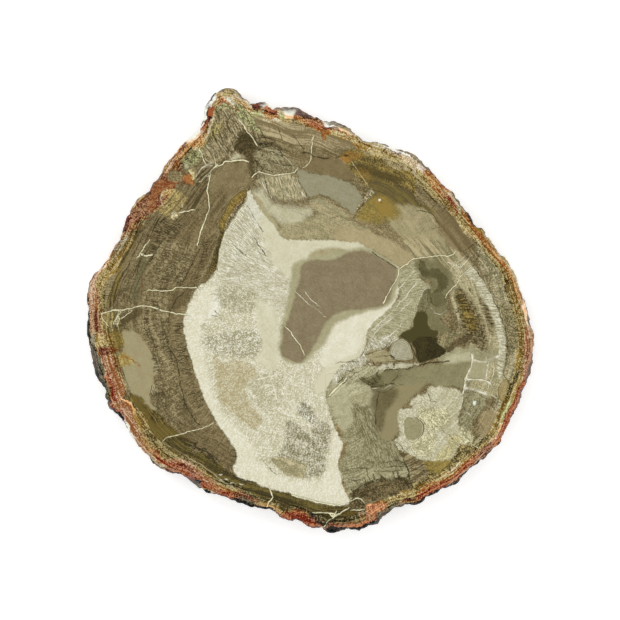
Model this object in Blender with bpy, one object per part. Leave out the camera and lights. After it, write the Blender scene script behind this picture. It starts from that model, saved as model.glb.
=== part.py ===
"""A slice sawn across a petrified log: one piece of stone, polished on top and sawn flat below,
with the rough rind of the old log all round its edge.

Metres, +Z up. The slice lies on its sawn back. Its origin is the middle of the box round it,
on the surface that it rests on."""

import math

import bmesh
import bpy
from mathutils import Vector, noise

# Driving dimensions
SLICE_WIDTH = 0.230  # left to right, over the rind
SLICE_THICKNESS = 0.018
FOOT_INSET = (0.0006, 0.0026)  # how far the sawn back stops short of the widest line of the rind

# Resolution of the faceted rind
COLUMNS = 360  # round the edge
LEVELS = (0.0, 0.05, 0.16, 0.30, 0.45, 0.60, 0.74, 0.86, 0.95, 1.0)  # shares of the thickness
POINTS_PER_SPAN = 8  # of the smooth curve, before it is shared out into columns

# Relief of the rind, all of it cut inwards. Sizes are (round the edge, up the edge).
PLATE_SIZE, PLATE_STEP = (0.0135, 0.0105), 0.0020  # broken plates of the old bark
GAP_SHARE, GAP_DEPTH = 0.22, 0.0011  # the cracks between plates
FURROW_SIZE, FURROW_DEPTH = (0.0090, 0.050), 0.0016
PIT_SIZE, PIT_DEPTH, PIT_SHARE = (0.0065, 0.005), 0.0060, 0.28
GRAIN_SIZE, GRAIN_DEPTH = (0.0045, 0.012), 0.0006
RELIEF_AT_FACES = 0.5  # share of the relief that is left where the saw cut the rind

SHARP_EDGE = math.radians(38)

# The slice seen from above, read off the photograph in its pixels (x right, y down), clockwise
# from the spur at the top. The third number is the width in pixels of the broken rind that
# shows outside the polished face there.
RIND_OUTLINE = (
    # the spur
    (222, 90, 8), (227, 87, 10), (233, 89, 10), (240, 95, 8), (246, 98, 6), (250, 104, 3),
    # the upper edge, with its notches
    (259, 103, 2), (266, 103.5, 2), (271, 109, 2), (277, 107.5, 6), (285, 106.5, 11),
    (294, 107, 11), (301, 110, 8), (311, 116, 3), (320, 121, 2), (328, 121.5, 6), (336, 123, 9),
    (346, 128, 8), (355, 133.5, 6), (358.5, 140, 2), (369, 144, 2), (380, 143.5, 5),
    (394, 150, 5), (407, 152, 5), (416, 157, 5), (427, 167, 5), (434, 174, 3), (442, 186, 2),
    # the right edge
    (450, 191, 4), (457, 198, 6), (462, 207, 2), (475, 222, 2), (484, 229, 3), (487, 236, 5),
    (494, 246, 3), (504, 258.5, 3), (512, 269, 3), (517, 282, 3), (523, 298, 4), (529, 313, 6),
    (532, 326, 6), (535.5, 338, 5), (532, 351, 4), (531, 367, 5), (529, 380, 6), (522, 394, 5),
    (518, 405, 4), (509, 421, 4), (500, 438, 4), (489, 451, 4), (477, 462, 3), (465, 470, 3),
    (457, 479, 4), (443, 487.5, 3), (428, 496, 3), (416, 503, 3),
    # the lower edge
    (403, 506, 4), (392, 509.5, 4), (382, 517, 4), (376, 524, 6), (368, 524, 4), (359, 529, 3),
    (347, 528, 3), (339, 532, 6), (330, 533, 6), (320, 526, 3), (312, 527, 2), (303, 521.5, 2),
    (296, 517.5, 2), (290, 519.5, 2), (280, 517, 3), (272, 508.5, 3), (258, 507.5, 3),
    (246, 505, 3), (236, 500, 4), (222, 495.5, 3), (209, 492, 3), (198, 486.5, 7),
    (188, 478, 6), (179, 472.5, 3), (170, 472, 3), (157, 465, 6), (151, 456.5, 5),
    # the left edge, where the broken rind shows widest
    (142, 449, 3), (130, 432.5, 3), (118, 416, 2), (111, 409, 5), (108, 399, 6), (106, 390, 5),
    (98, 378, 7), (94, 365, 9), (91.5, 350, 8), (87.5, 335, 5), (87, 320, 7), (90.5, 310, 3),
    (88, 299, 3), (89, 287, 3), (93, 275, 2), (102, 267.5, 2), (109, 257, 2), (114, 246, 4),
    (119, 241, 2), (123, 224, 2), (130, 212.5, 2), (138, 200, 3), (147, 194, 3), (153, 182, 2),
    (166, 166, 2), (181, 148.5, 2), (185, 141, 3), (195, 136, 3), (202, 123.5, 3),
    (206, 114, 4), (209, 104, 4), (216, 95, 4),
)


def smooth_loop(points, per_span):
    """A closed curve through the points, by Catmull and Rom's formula."""
    curve = []
    count = len(points)
    for i in range(count):
        a, b, c, d = (Vector(points[(i + k) % count]) for k in (-1, 0, 1, 2))
        for step in range(per_span):
            t = step / per_span
            curve.append(
                0.5 * (2 * b + (c - a) * t + (2 * a - 5 * b + 4 * c - d) * t**2
                       + (3 * b - a - 3 * c + d) * t**3)
            )
    return curve


def shared_out(curve, count):
    """The curve's values at points the same distance apart along it."""
    ends = curve + curve[:1]
    lengths = [(b.xy - a.xy).length for a, b in zip(ends, ends[1:])]
    spacing = sum(lengths) / count
    shared, span, passed = [], 0, 0.0
    for column in range(count):
        target = column * spacing
        while passed + lengths[span] < target:
            passed += lengths[span]
            span += 1
        shared.append(ends[span].lerp(ends[span + 1], (target - passed) / lengths[span]))
    return shared


def rind_columns():
    """For each column, the silhouette's point, the way inwards and the ledge's width, in metres."""
    xs, ys, _ = zip(*RIND_OUTLINE)
    per_pixel = SLICE_WIDTH / (max(xs) - min(xs))
    middle_x, middle_y = (max(xs) + min(xs)) / 2, (max(ys) + min(ys)) / 2
    placed = [
        ((x - middle_x) * per_pixel, (middle_y - y) * per_pixel, ledge * per_pixel)
        for x, y, ledge in reversed(RIND_OUTLINE)
    ]
    columns = shared_out(smooth_loop(placed, POINTS_PER_SPAN), COLUMNS)
    reach = COLUMNS // 24  # the way inwards is read over a long stretch, so it never folds back
    inwards = []
    for i in range(COLUMNS):
        along = columns[(i + reach) % COLUMNS].xy - columns[i - reach].xy
        inwards.append(Vector((-along.y, along.x, 0)).normalized())
    return [(Vector((c.x, c.y, 0)), way, c.z) for c, way in zip(columns, inwards)]


def patterned(point, size, seed):
    """Smooth noise from -1 to 1, with lumps of the given size round and up the edge."""
    round_edge, up_edge = size
    return noise.noise(
        Vector((point.x / round_edge, point.y / round_edge, point.z / up_edge + seed))
    )


def relief(point):
    """How far the rind is worn in at this point: broken plates, furrows, pits and grain."""
    round_edge, up_edge = PLATE_SIZE
    away, centres = noise.voronoi(
        Vector((point.x / round_edge, point.y / round_edge, point.z / up_edge))
    )
    plate = (0.5 + 0.5 * noise.noise(centres[0] * 3.7)) * PLATE_STEP
    gap = max(0.0, 1 - (away[1] - away[0]) / GAP_SHARE) * GAP_DEPTH
    furrow = (1 - abs(patterned(point, FURROW_SIZE, 3.1))) ** 4 * FURROW_DEPTH
    pit = max(0.0, patterned(point, PIT_SIZE, 41.9) - PIT_SHARE) * PIT_DEPTH
    grain = (0.5 + 0.5 * patterned(point, GRAIN_SIZE, 71.7)) * GRAIN_DEPTH
    return plate + gap + furrow + pit + grain


def inset(column, level):
    """How far inside its widest line the rind lies on one column, at a share of the thickness."""
    edge, _, ledge = column
    near_face = abs(2 * level - 1) ** 6
    shoulder = ledge * max(0.0, (level - 0.45) / 0.55) ** 2.2
    least, most = FOOT_INSET
    foot = least + (most - least) * (0.5 + 0.5 * patterned(edge, (0.022, 1.0), 5.7))
    foot *= max(0.0, (0.35 - level) / 0.35) ** 2
    worn = relief(edge + Vector((0, 0, level * SLICE_THICKNESS)))
    return shoulder + foot + worn * (1 - (1 - RELIEF_AT_FACES) * near_face)


def column_points(column):
    """The rind's surface up one column. Its widest point stands on the silhouette."""
    edge, inwards, _ = column
    insets = [inset(column, level) for level in LEVELS]
    return [
        edge + inwards * (depth - min(insets)) + Vector((0, 0, level * SLICE_THICKNESS))
        for depth, level in zip(insets, LEVELS)
    ]


def mineral(name, colour, roughness):
    """A plain stone material. The colour is linear red, green and blue."""
    material = bpy.data.materials.new(name)
    material.use_nodes = True
    shader = material.node_tree.nodes["Principled BSDF"]
    shader.inputs["Base Color"].default_value = (*colour, 1)
    shader.inputs["Roughness"].default_value = roughness
    shader.inputs["Metallic"].default_value = 0
    return material


def slice_mesh():
    """The closed shell: the sawn back, the rind drawn up level by level, and the polished face."""
    columns = [column_points(column) for column in rind_columns()]
    shell = bmesh.new()
    ring = bmesh.ops.create_circle(shell, cap_ends=False, segments=COLUMNS, radius=1)["verts"]
    back_edges = shell.edges[:]
    for vert, column in zip(ring, columns):
        vert.co = column[0]

    edges = back_edges
    for level in range(1, len(LEVELS)):
        made = bmesh.ops.extrude_edge_only(shell, edges=edges)["geom"]
        edges = [item for item in made if isinstance(item, bmesh.types.BMEdge)]
        raised = {item for item in made if isinstance(item, bmesh.types.BMVert)}
        edges = [edge for edge in edges if set(edge.verts) <= raised]
        ring = [
            next(other for edge in vert.link_edges if (other := edge.other_vert(vert)) in raised)
            for vert in ring
        ]
        for vert, column in zip(ring, columns):
            vert.co = column[level]

    rind_faces = set(shell.faces)
    bmesh.ops.edgeloop_fill(shell, edges=back_edges)
    bmesh.ops.edgeloop_fill(shell, edges=edges)
    for face in shell.faces:
        if face in rind_faces:
            face.material_index = 1
        else:
            face.material_index = 0 if face.calc_center_median().z > 0 else 2
    bmesh.ops.recalc_face_normals(shell, faces=shell.faces)

    xs, ys = zip(*(vert.co.xy for vert in shell.verts))
    middle = Vector(((max(xs) + min(xs)) / 2, (max(ys) + min(ys)) / 2, 0))
    bmesh.ops.translate(shell, verts=shell.verts, vec=-middle)

    mesh = bpy.data.meshes.new("petrified_wood_slice")
    shell.to_mesh(mesh)
    shell.free()
    return mesh


for leftover in list(bpy.data.objects):
    bpy.data.objects.remove(leftover)

slab = slice_mesh()
slab.materials.append(mineral("polished_stone", (0.36, 0.33, 0.24), 0.18))
slab.materials.append(mineral("weathered_rind", (0.16, 0.10, 0.06), 0.85))
slab.materials.append(mineral("sawn_stone", (0.42, 0.39, 0.31), 0.6))
slab.shade_smooth()
slab.set_sharp_from_angle(angle=SHARP_EDGE)
wood_slice = bpy.data.objects.new("petrified_wood_slice", slab)
bpy.context.scene.collection.objects.link(wood_slice)
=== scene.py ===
# A polished slice of petrified wood lying on a pale floor, seen from straight above.
import math

import bmesh
import bpy
import numpy as np
from mathutils import Matrix, Vector, kdtree, noise


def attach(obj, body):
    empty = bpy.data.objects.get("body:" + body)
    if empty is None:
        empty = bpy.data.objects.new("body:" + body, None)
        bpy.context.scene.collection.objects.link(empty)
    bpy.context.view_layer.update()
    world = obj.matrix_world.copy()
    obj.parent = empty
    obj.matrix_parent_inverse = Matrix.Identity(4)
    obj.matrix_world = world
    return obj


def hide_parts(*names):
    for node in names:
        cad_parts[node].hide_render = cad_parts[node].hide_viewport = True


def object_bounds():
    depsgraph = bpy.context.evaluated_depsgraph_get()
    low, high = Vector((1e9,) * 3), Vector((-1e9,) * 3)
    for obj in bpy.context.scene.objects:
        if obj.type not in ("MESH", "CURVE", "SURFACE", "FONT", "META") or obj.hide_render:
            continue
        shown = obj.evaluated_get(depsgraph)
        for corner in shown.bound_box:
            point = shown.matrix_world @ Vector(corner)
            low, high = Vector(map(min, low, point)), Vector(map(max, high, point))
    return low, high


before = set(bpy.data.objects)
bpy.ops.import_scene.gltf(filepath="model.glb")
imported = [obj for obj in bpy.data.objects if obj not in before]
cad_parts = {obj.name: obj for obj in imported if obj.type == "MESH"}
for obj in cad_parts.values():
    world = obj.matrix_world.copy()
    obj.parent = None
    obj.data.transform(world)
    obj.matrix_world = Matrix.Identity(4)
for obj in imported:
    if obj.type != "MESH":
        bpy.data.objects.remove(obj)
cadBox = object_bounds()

mm = 0.001
noise.seed_set(1)  # without a seed the vector noise differs from run to run
lowest, highest = cadBox

# The photograph's pixels (x right, y down) that the slice's box covers, for placing the markings.
photo = {"left": 87, "right": 535.5, "top": 87, "size": 620}
perPixel = (highest.x - lowest.x) / (photo["right"] - photo["left"])


def pixels(path):
    # a path in the photograph's pixels, as numbers. Most are written as "x,y x,y".
    if isinstance(path, str):
        path = [place.split(",") for place in path.split()]
    return np.array(path, float)


def onSlice(path):
    # photo pixels to millimetres on the slice
    path = pixels(path)
    x = lowest.x + (path[:, 0] - photo["left"]) * perPixel
    y = highest.y - (path[:, 1] - photo["top"]) * perPixel
    return np.column_stack((x, y)) / mm


def linearColour(hexCode):
    # sRGB hex to the linear colour that a shader takes
    channels = [int(hexCode[i:i + 2], 16) / 255 for i in (0, 2, 4)]
    return (*[c / 12.92 if c <= 0.04045 else ((c + 0.055) / 1.055) ** 2.4 for c in channels], 1)


def feed(node, inputs):
    # sets a node's inputs, or links them to what other nodes give
    for name, value in inputs.items():
        if isinstance(value, bpy.types.NodeSocket):
            node.id_data.links.new(value, node.inputs[name])
        else:
            node.inputs[name].default_value = value


def addNode(tree, kind, inputs={}, **settings):
    made = tree.nodes.new("ShaderNode" + kind)
    for name, value in settings.items():
        setattr(made, name, value)
    feed(made, inputs)
    return next((output for output in made.outputs if output.enabled), None)


# The stone's tints. The wood is browns, greens and creams, and the bark has golds and reds too.
tints = {
    "black": "0E0B08", "soot": "2A2414", "peat": "3D351E", "umber": "4E4429", "brown": "5E5235",
    "walnut": "6C5E3E", "taupe": "7C6D4B", "fawn": "8D7D59", "camel": "9A8C66", "sand": "AA9C74",
    "biscuit": "BAAC84", "oat": "CBBF98", "moss": "5A5637", "sage": "6B6545", "reed": "7B7553",
    "khaki": "8A8460", "lichen": "99936F", "straw": "A8A27E", "flax": "B7B18D", "shell": "C5C09E",
    "linen": "D3CEB0", "cream": "DFDBC2", "milk": "EBE8D5", "chalk": "F5F4EA", "ivory": "ECE6BC",
    "pine": "4A4524", "mole": "7A6C50", "drab": "968A6C",
    "bronze": "655528", "olive": "776A37", "ochre": "8D7A40", "gold": "A68F4C", "amber": "A07F34",
    "honey": "C3AF70", "lime": "C7C68D", "butter": "E4D8A0", "dove": "A19C85", "pearl": "BDB9A2",
    "slate": "343634", "grey": "6A6356", "mint": "DCEBD8", "oxblood": "541D0C", "rust": "74371A",
    "brick": "945A38", "red": "A8562C", "clay": "A97C4E", "salmon": "C09A70", "orange": "BC8B46",
    "ginger": "9B7030", "peach": "F2B783", "blush": "F6DBB7",
}

# Each texture: how strongly it shows growth bands, rays, specks and the dark dashes of filled vessels
textures = {
    "smooth": (0.15, 0.12, 0.4, 0.0),
    "flecked": (0.15, 0.45, 1.05, 0.0),
    "mottled": (0.45, 0.35, 0.95, 0.1),
    "banded": (0.85, 0.2, 0.6, 0.05),
    "striped": (1.1, 0.1, 0.5, 0.0),
    "streaked": (0.1, 0.85, 0.65, 0.1),
    "ticked": (0.1, 1.0, 0.5, 0.0),
    "speckled": (0.1, 0.35, 1.4, 0.1),
    "grainy": (0.15, 0.45, 1.0, 0.05),
    "dashed": (0.3, 0.35, 0.65, 0.9),
    "vessels": (0.3, 0.45, 0.85, 0.35),
}

# The markings, layer by layer. Each zone is its dark tint, its light tint and its texture, then the blur
# of its edge in mm (0 is a crisp edge) and its outline in the photograph's pixels.
woodZones = {
    "upper left wood": ("walnut camel smooth", 2, "204,180 240,161 250,172 250,186 240,191 216,222 206,226 "
        "208,200"),
    "upper left shade": ("brown fawn mottled", 2, "206,196 222,190 226,204 218,222 212,250 206,268 198,262 "
        "206,214"),
    "lines beside the vein": ("umber fawn banded", 1, "189,178 204,166 215,164 209,176 206,196 184,222 "
        "180,208 190,192"),
    "upper left lines": ("brown fawn mottled", 1.5, "150,226 176,218 196,212 202,226 196,244 170,240 "
        "138,262"),
    "spur": ("moss lime speckled", 1, "202,118 210,96 228,82 256,106 262,134 246,128 232,118 222,126 "
        "204,150 196,164 184,166 180,158 186,145 200,132"),
    "spur middle": ("brown biscuit streaked", 1, "214,116 224,108 236,112 246,124 258,134 258,148 246,158 "
        "222,158 206,164 202,150"),
    "spur patch": ("brown biscuit mottled", 0.8, "222,137 232,135 236,146 230,152 221,149"),
    "spur patch two": ("moss honey mottled", 0.8, "207,128 214,119 222,124 220,134 211,139"),
    "spur dark": ("peat walnut mottled", 1.2, "238,134 248,132 257,142 256,174 250,173 247,158 236,150"),
    "spur triangle": ("lichen linen smooth", 0.4, "228,160 233,156 238,153.5 241,157 237,158.5"),
    "upper khaki": ("taupe biscuit banded", 0.8, "254,108 270,112 300,118 330,130 356,142 360,150 346,149 "
        "300,147 268,136 256,126"),
    "arch": ("soot taupe mottled", 0.5, "255,147 262,142 270,142 286,151 268,146"),
    "grey wood": ("walnut straw mottled", 1, "258,148 272,147 306,158 304,167 293,172 272,175 255,176 "
        "254,160"),
    "smudge band": ("walnut camel mottled", 1, "284,149 330,154 348,158 346,164 316,158 300,168"),
    "tick zone": ("reed oat ticked", 1.6, "257,180 275,176 292,174 306,195 286,200 270,195"),
    "upper pale": ("straw linen smooth", 2, "253,192 262,190 272,203 292,207 312,210 306,219 288,229 "
        "257,202"),
    "green edge": ("lichen biscuit smooth", 0.7, "254,196 262,202 284,238 277,234 258,208"),
    "upper olive": ("khaki biscuit mottled", 1.5, "276,228 300,222 318,214 310,204 320,198 340,208 392,247 "
        "404,262 396,264 350,242 300,240 284,240"),
    "upper light khaki": ("camel biscuit smooth", 1, "336,228 352,226 380,236 398,244 410,254 416,262 "
        "402,268 372,249 338,240"),
    "right brown": ("umber gold mottled", 1, "348,150 372,152 412,168 414,200 396,200 372,192 348,166"),
    "right orange": ("umber ochre smooth", 1.5, "360,168 372,170 384,178 384,190 374,190"),
    "tan top": ("bronze biscuit mottled", 0.8, "360,143 385,148 402,156 410,166 398,170 378,158 362,152"),
    "brown bar": ("umber bronze mottled", 0.8, "362,164 403,179 396,182 352,168"),
    "olive bar": ("brown olive banded", 1, "370,182 386,184 410,190 416,200 428,206 434,214 386,204 "
        "368,198"),
    "right pale olive": ("khaki biscuit smooth", 1.5, "392,206 424,210 446,240 428,244 404,238 390,226"),
    "pale window": ("reed biscuit smooth", 0.7, "418,211 430,212 438,228 428,232 420,228"),
    "golden": ("olive gold mottled", 2.4, "356,218 369,199 386,199 400,213 392,220 364,223"),
    "deep gold": ("ochre amber mottled", 2.2, "374,199 386,199 395,207 392,215 380,213"),
    "golden corner": ("bronze orange smooth", 0.7, "340,157 346,152 360,154 361,158 345,162"),
    "dark sweep": ("taupe sand mottled", 0.9, "352,216 368,223 404,238 424,256 417,257 407,248 376,232 "
        "350,220"),
    "banded slope": ("reed biscuit striped", 1, "404,240 424,238 446,244 462,256 452,274 440,268 414,258"),
    "brown slope": ("walnut fawn banded", 1.2, "438,208 452,216 468,230 476,244 468,252 452,247 434,222"),
    "right wood": ("khaki oat mottled", 1.2, "452,262 470,262 486,284 499,316 506,350 503,386 490,398 "
        "466,392 462,376 440,364 470,346 462,330 452,304"),
    "right green": ("khaki shell ticked", 0.8, "398,272 420,260 420,278 430,286 424,292 411,324 392,341 "
        "378,346 368,344 369,324 400,298"),
    "smoke halo": ("sage khaki smooth", 1, "415,262 424,258 440,264 450,273 454,284 446,298 448,312 "
        "440,318 450,332 436,332 428,322 424,306 428,290 432,282 420,277"),
    "brown dashes": ("umber sand dashed", 1.2, "456,292 461,288 482,315 489,348 478,349 464,335 460,306"),
    "brown heart": ("peat gold streaked", 1.2, "455,293 463,296 472,312 478,326 472,334 462,316"),
    "right dashes": ("peat camel ticked", 0.5, "480,297 489,312 493,326 491,336"),
    "pale band": ("reed flax smooth", 0.8, "436,356 462,347 480,350 497,352 498,361 470,369 450,365"),
    "pale end": ("straw shell smooth", 1.5, "446,357 470,352 474,367 464,373 446,366"),
    "under the crack": ("reed lichen smooth", 1, "382,374 412,368 440,364 470,362 470,372 466,388 420,384 "
        "384,392"),
    "right olive": ("sage oat mottled", 0.6, "478,246 488,250 512,282 528,334 526,362 516,392 500,424 "
        "484,446 470,452 482,430 498,392 506,366 507,338 492,288 480,266"),
    "right gold": ("gold butter mottled", 0.6, "488,249 508,270 520,304 512,306 506,294 503,276 494,264"),
    "right speckled": ("moss sand speckled", 0.6, "502,306 514,308 519,326 519,348 508,348 506,330"),
    "right yellow": ("honey butter banded", 0.4, "515,350 520,352 520,368 516,384 511,392 516,364"),
    "right tan": ("fawn sand mottled", 0.7, "480,414 494,411 500,420 494,434 484,442"),
    "right green grey": ("sage straw mottled", 1, "461,392 472,388 486,394 484,408 474,418 470,432 461,428 "
        "462,410"),
    "lower right": ("soot honey speckled", 1, "404,452 430,458 458,450 464,434 476,438 472,452 456,470 "
        "436,484 414,492 406,476"),
    "lower right light": ("khaki ivory speckled", 1, "458,427 468,431 473,439 465,444 456,440"),
    "hatch brown": ("brown sand banded", 0.8, "404,452 414,457 428,461 430,470 424,480 410,482"),
    "golden brown": ("olive gold mottled", 0.8, "424,459 440,460 452,457 446,468 436,474 428,470"),
    "lower yellow": ("olive butter banded", 0.5, "484,450 462,474 432,493 396,504 384,504 386,499 416,489 "
        "450,474 472,452"),
    "lower gold": ("bronze honey mottled", 0.6, "386,500 396,497 408,490 424,493 398,504"),
    "lower khaki": ("reed flax mottled", 1.5, "334,378 360,372 378,392 380,430 394,444 409,478 380,482 "
        "352,500 344,488 340,464 344,443 322,398"),
    "lower smooth": ("lichen shell smooth", 1.2, "326,396 334,384 346,386 352,400 352,424 342,432 336,418"),
    "lower streaks": ("sage straw streaked", 1.5, "352,404 376,398 378,430 392,444 402,460 398,474 376,474 "
        "368,450 356,430"),
    "lower pink": ("lichen shell mottled", 1, "347,384 362,383 374,391 376,402 362,405 351,398"),
    "lower whitish": ("khaki flax mottled", 1.2, "368,468 404,467 408,477 384,478 366,482"),
    "knot pale": ("khaki milk streaked", 1.2, "332,370 364,348 370,340 382,338 392,334 396,342 372,352 "
        "366,362 344,378 334,384"),
    "knot dashes": ("khaki shell mottled", 0.7, "341,374 356,367 372,366 384,370 380,380 364,382 352,380 "
        "342,384"),
    "knot tan": ("khaki biscuit smooth", 0.6, "367,352 378,349 389,352 396,360 369,361"),
    "knot dark": ("moss khaki mottled", 0.6, "361,379 379,374 386,380 392,384 382,388 364,384"),
    "knot taupe": ("sage khaki smooth", 0.5, "380,373 392,369 401,371 398,378 390,384 383,382"),
    "taupe hollow": ("khaki camel smooth", 0.8, "382,392 412,384 424,384 410,400 400,410 397,432 392,440 "
        "380,438 384,412"),
    "crack shade": ("brown reed smooth", 1.6, "372,390 384,388 398,391 392,404 384,416 381,430 376,428"),
    "left khaki": ("walnut honey mottled", 0.7, "160,192 170,188 184,194 186,202 179,214 178,222 168,220 "
        "158,208"),
    "left upper band": ("peat fawn banded", 0.8, "122,232 136,226 160,214 166,222 150,236 136,252 118,300 "
        "102,308 98,290 102,274 114,254"),
    "left tan band": ("taupe salmon mottled", 0.7, "122,228 129,228 124,250 110,270 103,280 99,278 "
        "118,242"),
    "left dark edge": ("umber ochre banded", 0.5, "136,231 144,225 138,236 125,262 117,292 105,309 116,279 "
        "120,264"),
    "left hatch": ("walnut sand ticked", 0.7, "101,274 110,268 116,272 106,306 99,308 98,290"),
    "left dark lines": ("brown camel mottled", 0.8, "138,246 150,240 170,224 176,226 150,262 147,284 "
        "142,304 126,306 122,292 130,270"),
    "left dark hatch": ("peat fawn streaked", 1.2, "158,224 176,218 184,222 176,236 160,248 150,252 "
        "154,238"),
    "left grey green": ("brown reed mottled", 0.8, "148,262 142,290 140,303 134,304 131,296 133,284 "
        "140,260"),
    "left vessels": ("brown sand vessels", 1, "156,248 172,240 186,246 190,262 186,280 172,286 156,284 "
        "152,266"),
    "left strip": ("brown fawn mottled", 0.8, "203,240 209,242 200,272 197,284 182,284 196,256"),
    "left lower vessels": ("brown sand vessels", 1, "146,294 166,292 170,310 168,340 182,400 176,424 "
        "160,416 154,396 160,372 154,352 144,340 142,316"),
    "left ring shade": ("brown taupe mottled", 0.7, "176,292 192,288 186,300 180,314 170,318 168,306"),
    "beside the cream": ("walnut camel streaked", 0.6, "172,314 185,306 184,330 190,358 212,418 228,442 "
        "234,462 222,456 192,410 171,336"),
    "lower left wood": ("brown fawn mottled", 1.5, "178,424 212,432 228,446 234,462 228,468 200,448 "
        "186,440"),
    "pale patch left": ("camel straw smooth", 0.5, "120,334 130,331 141,336 150,350 153,358 158,366 "
        "156,375 152,380 158,388 150,400 157,410 150,412 143,400 129,390 126,380 122,358 123,348"),
    "ochre stain": ("ochre honey mottled", 1, "120,354 128,356 132,362 124,368 119,366"),
    "grey lens left": ("umber walnut mottled", 0.4, "118,318 131,312 141,308 139,316 121,326"),
    "left mottled": ("umber honey banded", 0.5, "101,315 113,311 119,316 120,330 116,344 102,346"),
    "left olive gold": ("bronze gold mottled", 0.6, "106,336 120,332 123,346 114,351 104,350"),
    "lower left stripes": ("peat ochre banded", 0.5, "130,394 140,398 168,424 200,448 236,478 300,503 "
        "340,508 346,518 300,518 270,507 240,499 190,472 160,457 140,438 128,412"),
    "lower left olive": ("bronze olive banded", 0.5, "131,393 140,399 152,419 180,434 210,456 224,468 "
        "216,470 196,456 163,440 152,431 136,408"),
    "lower left band": ("peat olive banded", 0.4, "162,440 172,436 184,438 204,449 220,466 240,478 285,493 "
        "300,499 330,506 348,507 350,510 335,512 300,508 240,490 215,474 203,463 176,448"),
    "black blob": ("soot fawn mottled", 0.3, "189,446 196,444 212,454 220,464 214,462 204,454 194,452"),
    "bottom olive": ("soot bronze banded", 0.8, "300,512 318,512 340,512 352,504 366,508 368,516 360,524 "
        "340,526 304,520"),
}
paleZones = {
    "cream": ("flax milk flecked", 0, "250,190 256,203 277,230 284,239 300,240 330,240 358,243 370,249 "
        "392,262 400,270 398,285 400,292 394,303 387,312 375,321 367,333 366,345 360,356 348,362 338,370 "
        "326,390 327,400 332,420 339,437 343,443 338,464 341,472 343,487 349,503 330,505 300,498 285,492 "
        "270,489 250,481 240,479 232,468 236,460 235,450 214,418 201,390 184,332 187,308 198,287 207,282 "
        "215,273 218,255 222,238 226,228 244,200"),
    "white left": ("linen milk flecked", 1.5, "184,332 187,312 196,296 210,286 222,290 204,320 202,344 "
        "216,402 226,418 252,444 256,462 246,476 236,472 230,446 212,418 190,358"),
    "white bottom": ("linen milk flecked", 1.5, "240,478 252,462 284,478 306,482 324,478 330,458 334,430 "
        "342,446 338,464 343,487 349,503 330,505 270,489 250,481"),
    "white middle": ("cream chalk flecked", 2, "218,296 240,290 258,300 262,322 252,346 228,350 212,336 "
        "208,314"),
    "streaked top": ("straw milk ticked", 1.5, "246,202 260,216 280,240 288,262 290,290 282,312 262,304 "
        "222,280 222,256 228,232"),
    "cream ridge": ("pearl milk smooth", 1.2, "250,196 258,210 276,232 290,246 286,262 272,246 247,210"),
    "speckled left": ("flax milk speckled", 1.5, "204,330 212,318 230,302 252,308 262,330 258,350 236,358 "
        "212,354 200,344"),
    "speckled middle": ("lichen cream speckled", 1.5, "218,288 236,286 256,294 258,308 240,312 222,306"),
    "warm middle": ("shell cream smooth", 2, "256,300 276,310 278,340 278,366 262,368 252,350 258,326"),
    "green edge": ("shell cream smooth", 1.5, "262,214 290,238 346,238 402,264 400,292 386,298 392,272 "
        "372,254 340,250 300,258 290,276 276,266 262,240"),
    "warm top": ("shell cream smooth", 1, "288,242 330,242 346,246 330,254 310,256 298,264 290,262"),
    "top smudge": ("camel flax smooth", 1, "312,252 326,248 344,250 338,257 310,259"),
    "bright middle": ("linen milk smooth", 1.5, "328,330 345,319 384,304 394,306 366,334 362,348 346,362 "
        "330,368 320,362 326,346"),
    "streaks low": ("linen linen ticked", 1.5, "322,372 334,362 356,356 362,360 346,368 322,392 314,388"),
    "halo": ("lichen flax smooth", 1, "294,264 318,256 352,248 374,250 398,268 397,288 388,306 362,313 "
        "336,324 324,344 304,362 290,364 280,354 280,336 290,286"),
    "eye": ("mole drab smooth", 0.6, "305,262 335,259 352,251 372,253 390,264 397,270 391,293 387,303 "
        "371,308 332,316 313,349 305,357 300,363 286,358 281,345 298,285"),
    "eye lobe": ("mole drab smooth", 0.5, "284,327 291,331 302,354 298,361 288,357 282,348"),
    "speckled low": ("lichen milk speckled", 1, "204,338 222,334 256,330 262,348 252,358 228,356 212,354"),
    "beige block": ("sand linen speckled", 0.6, "213,356 222,362 236,360 250,364 259,377 244,386 256,412 "
        "262,420 254,430 240,418 220,402 217,386"),
    "beige block right": ("straw cream speckled", 0.4, "250,381 276,371 284,376 281,390 283,402 274,408 "
        "270,416 258,404"),
    "grey speckle one": ("reed milk grainy", 0.9, "303,402 310,405 316,420 312,425 297,410"),
    "grey speckle two": ("reed cream grainy", 1, "288,420 309,434 312,428 318,420 331,428 325,460 325,470 "
        "318,476 292,476 277,465 270,462 283,448 286,440"),
    "speckle foot": ("khaki oat mottled", 0.6, "271,457 290,459 305,464 304,478 292,477 280,470"),
}
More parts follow.
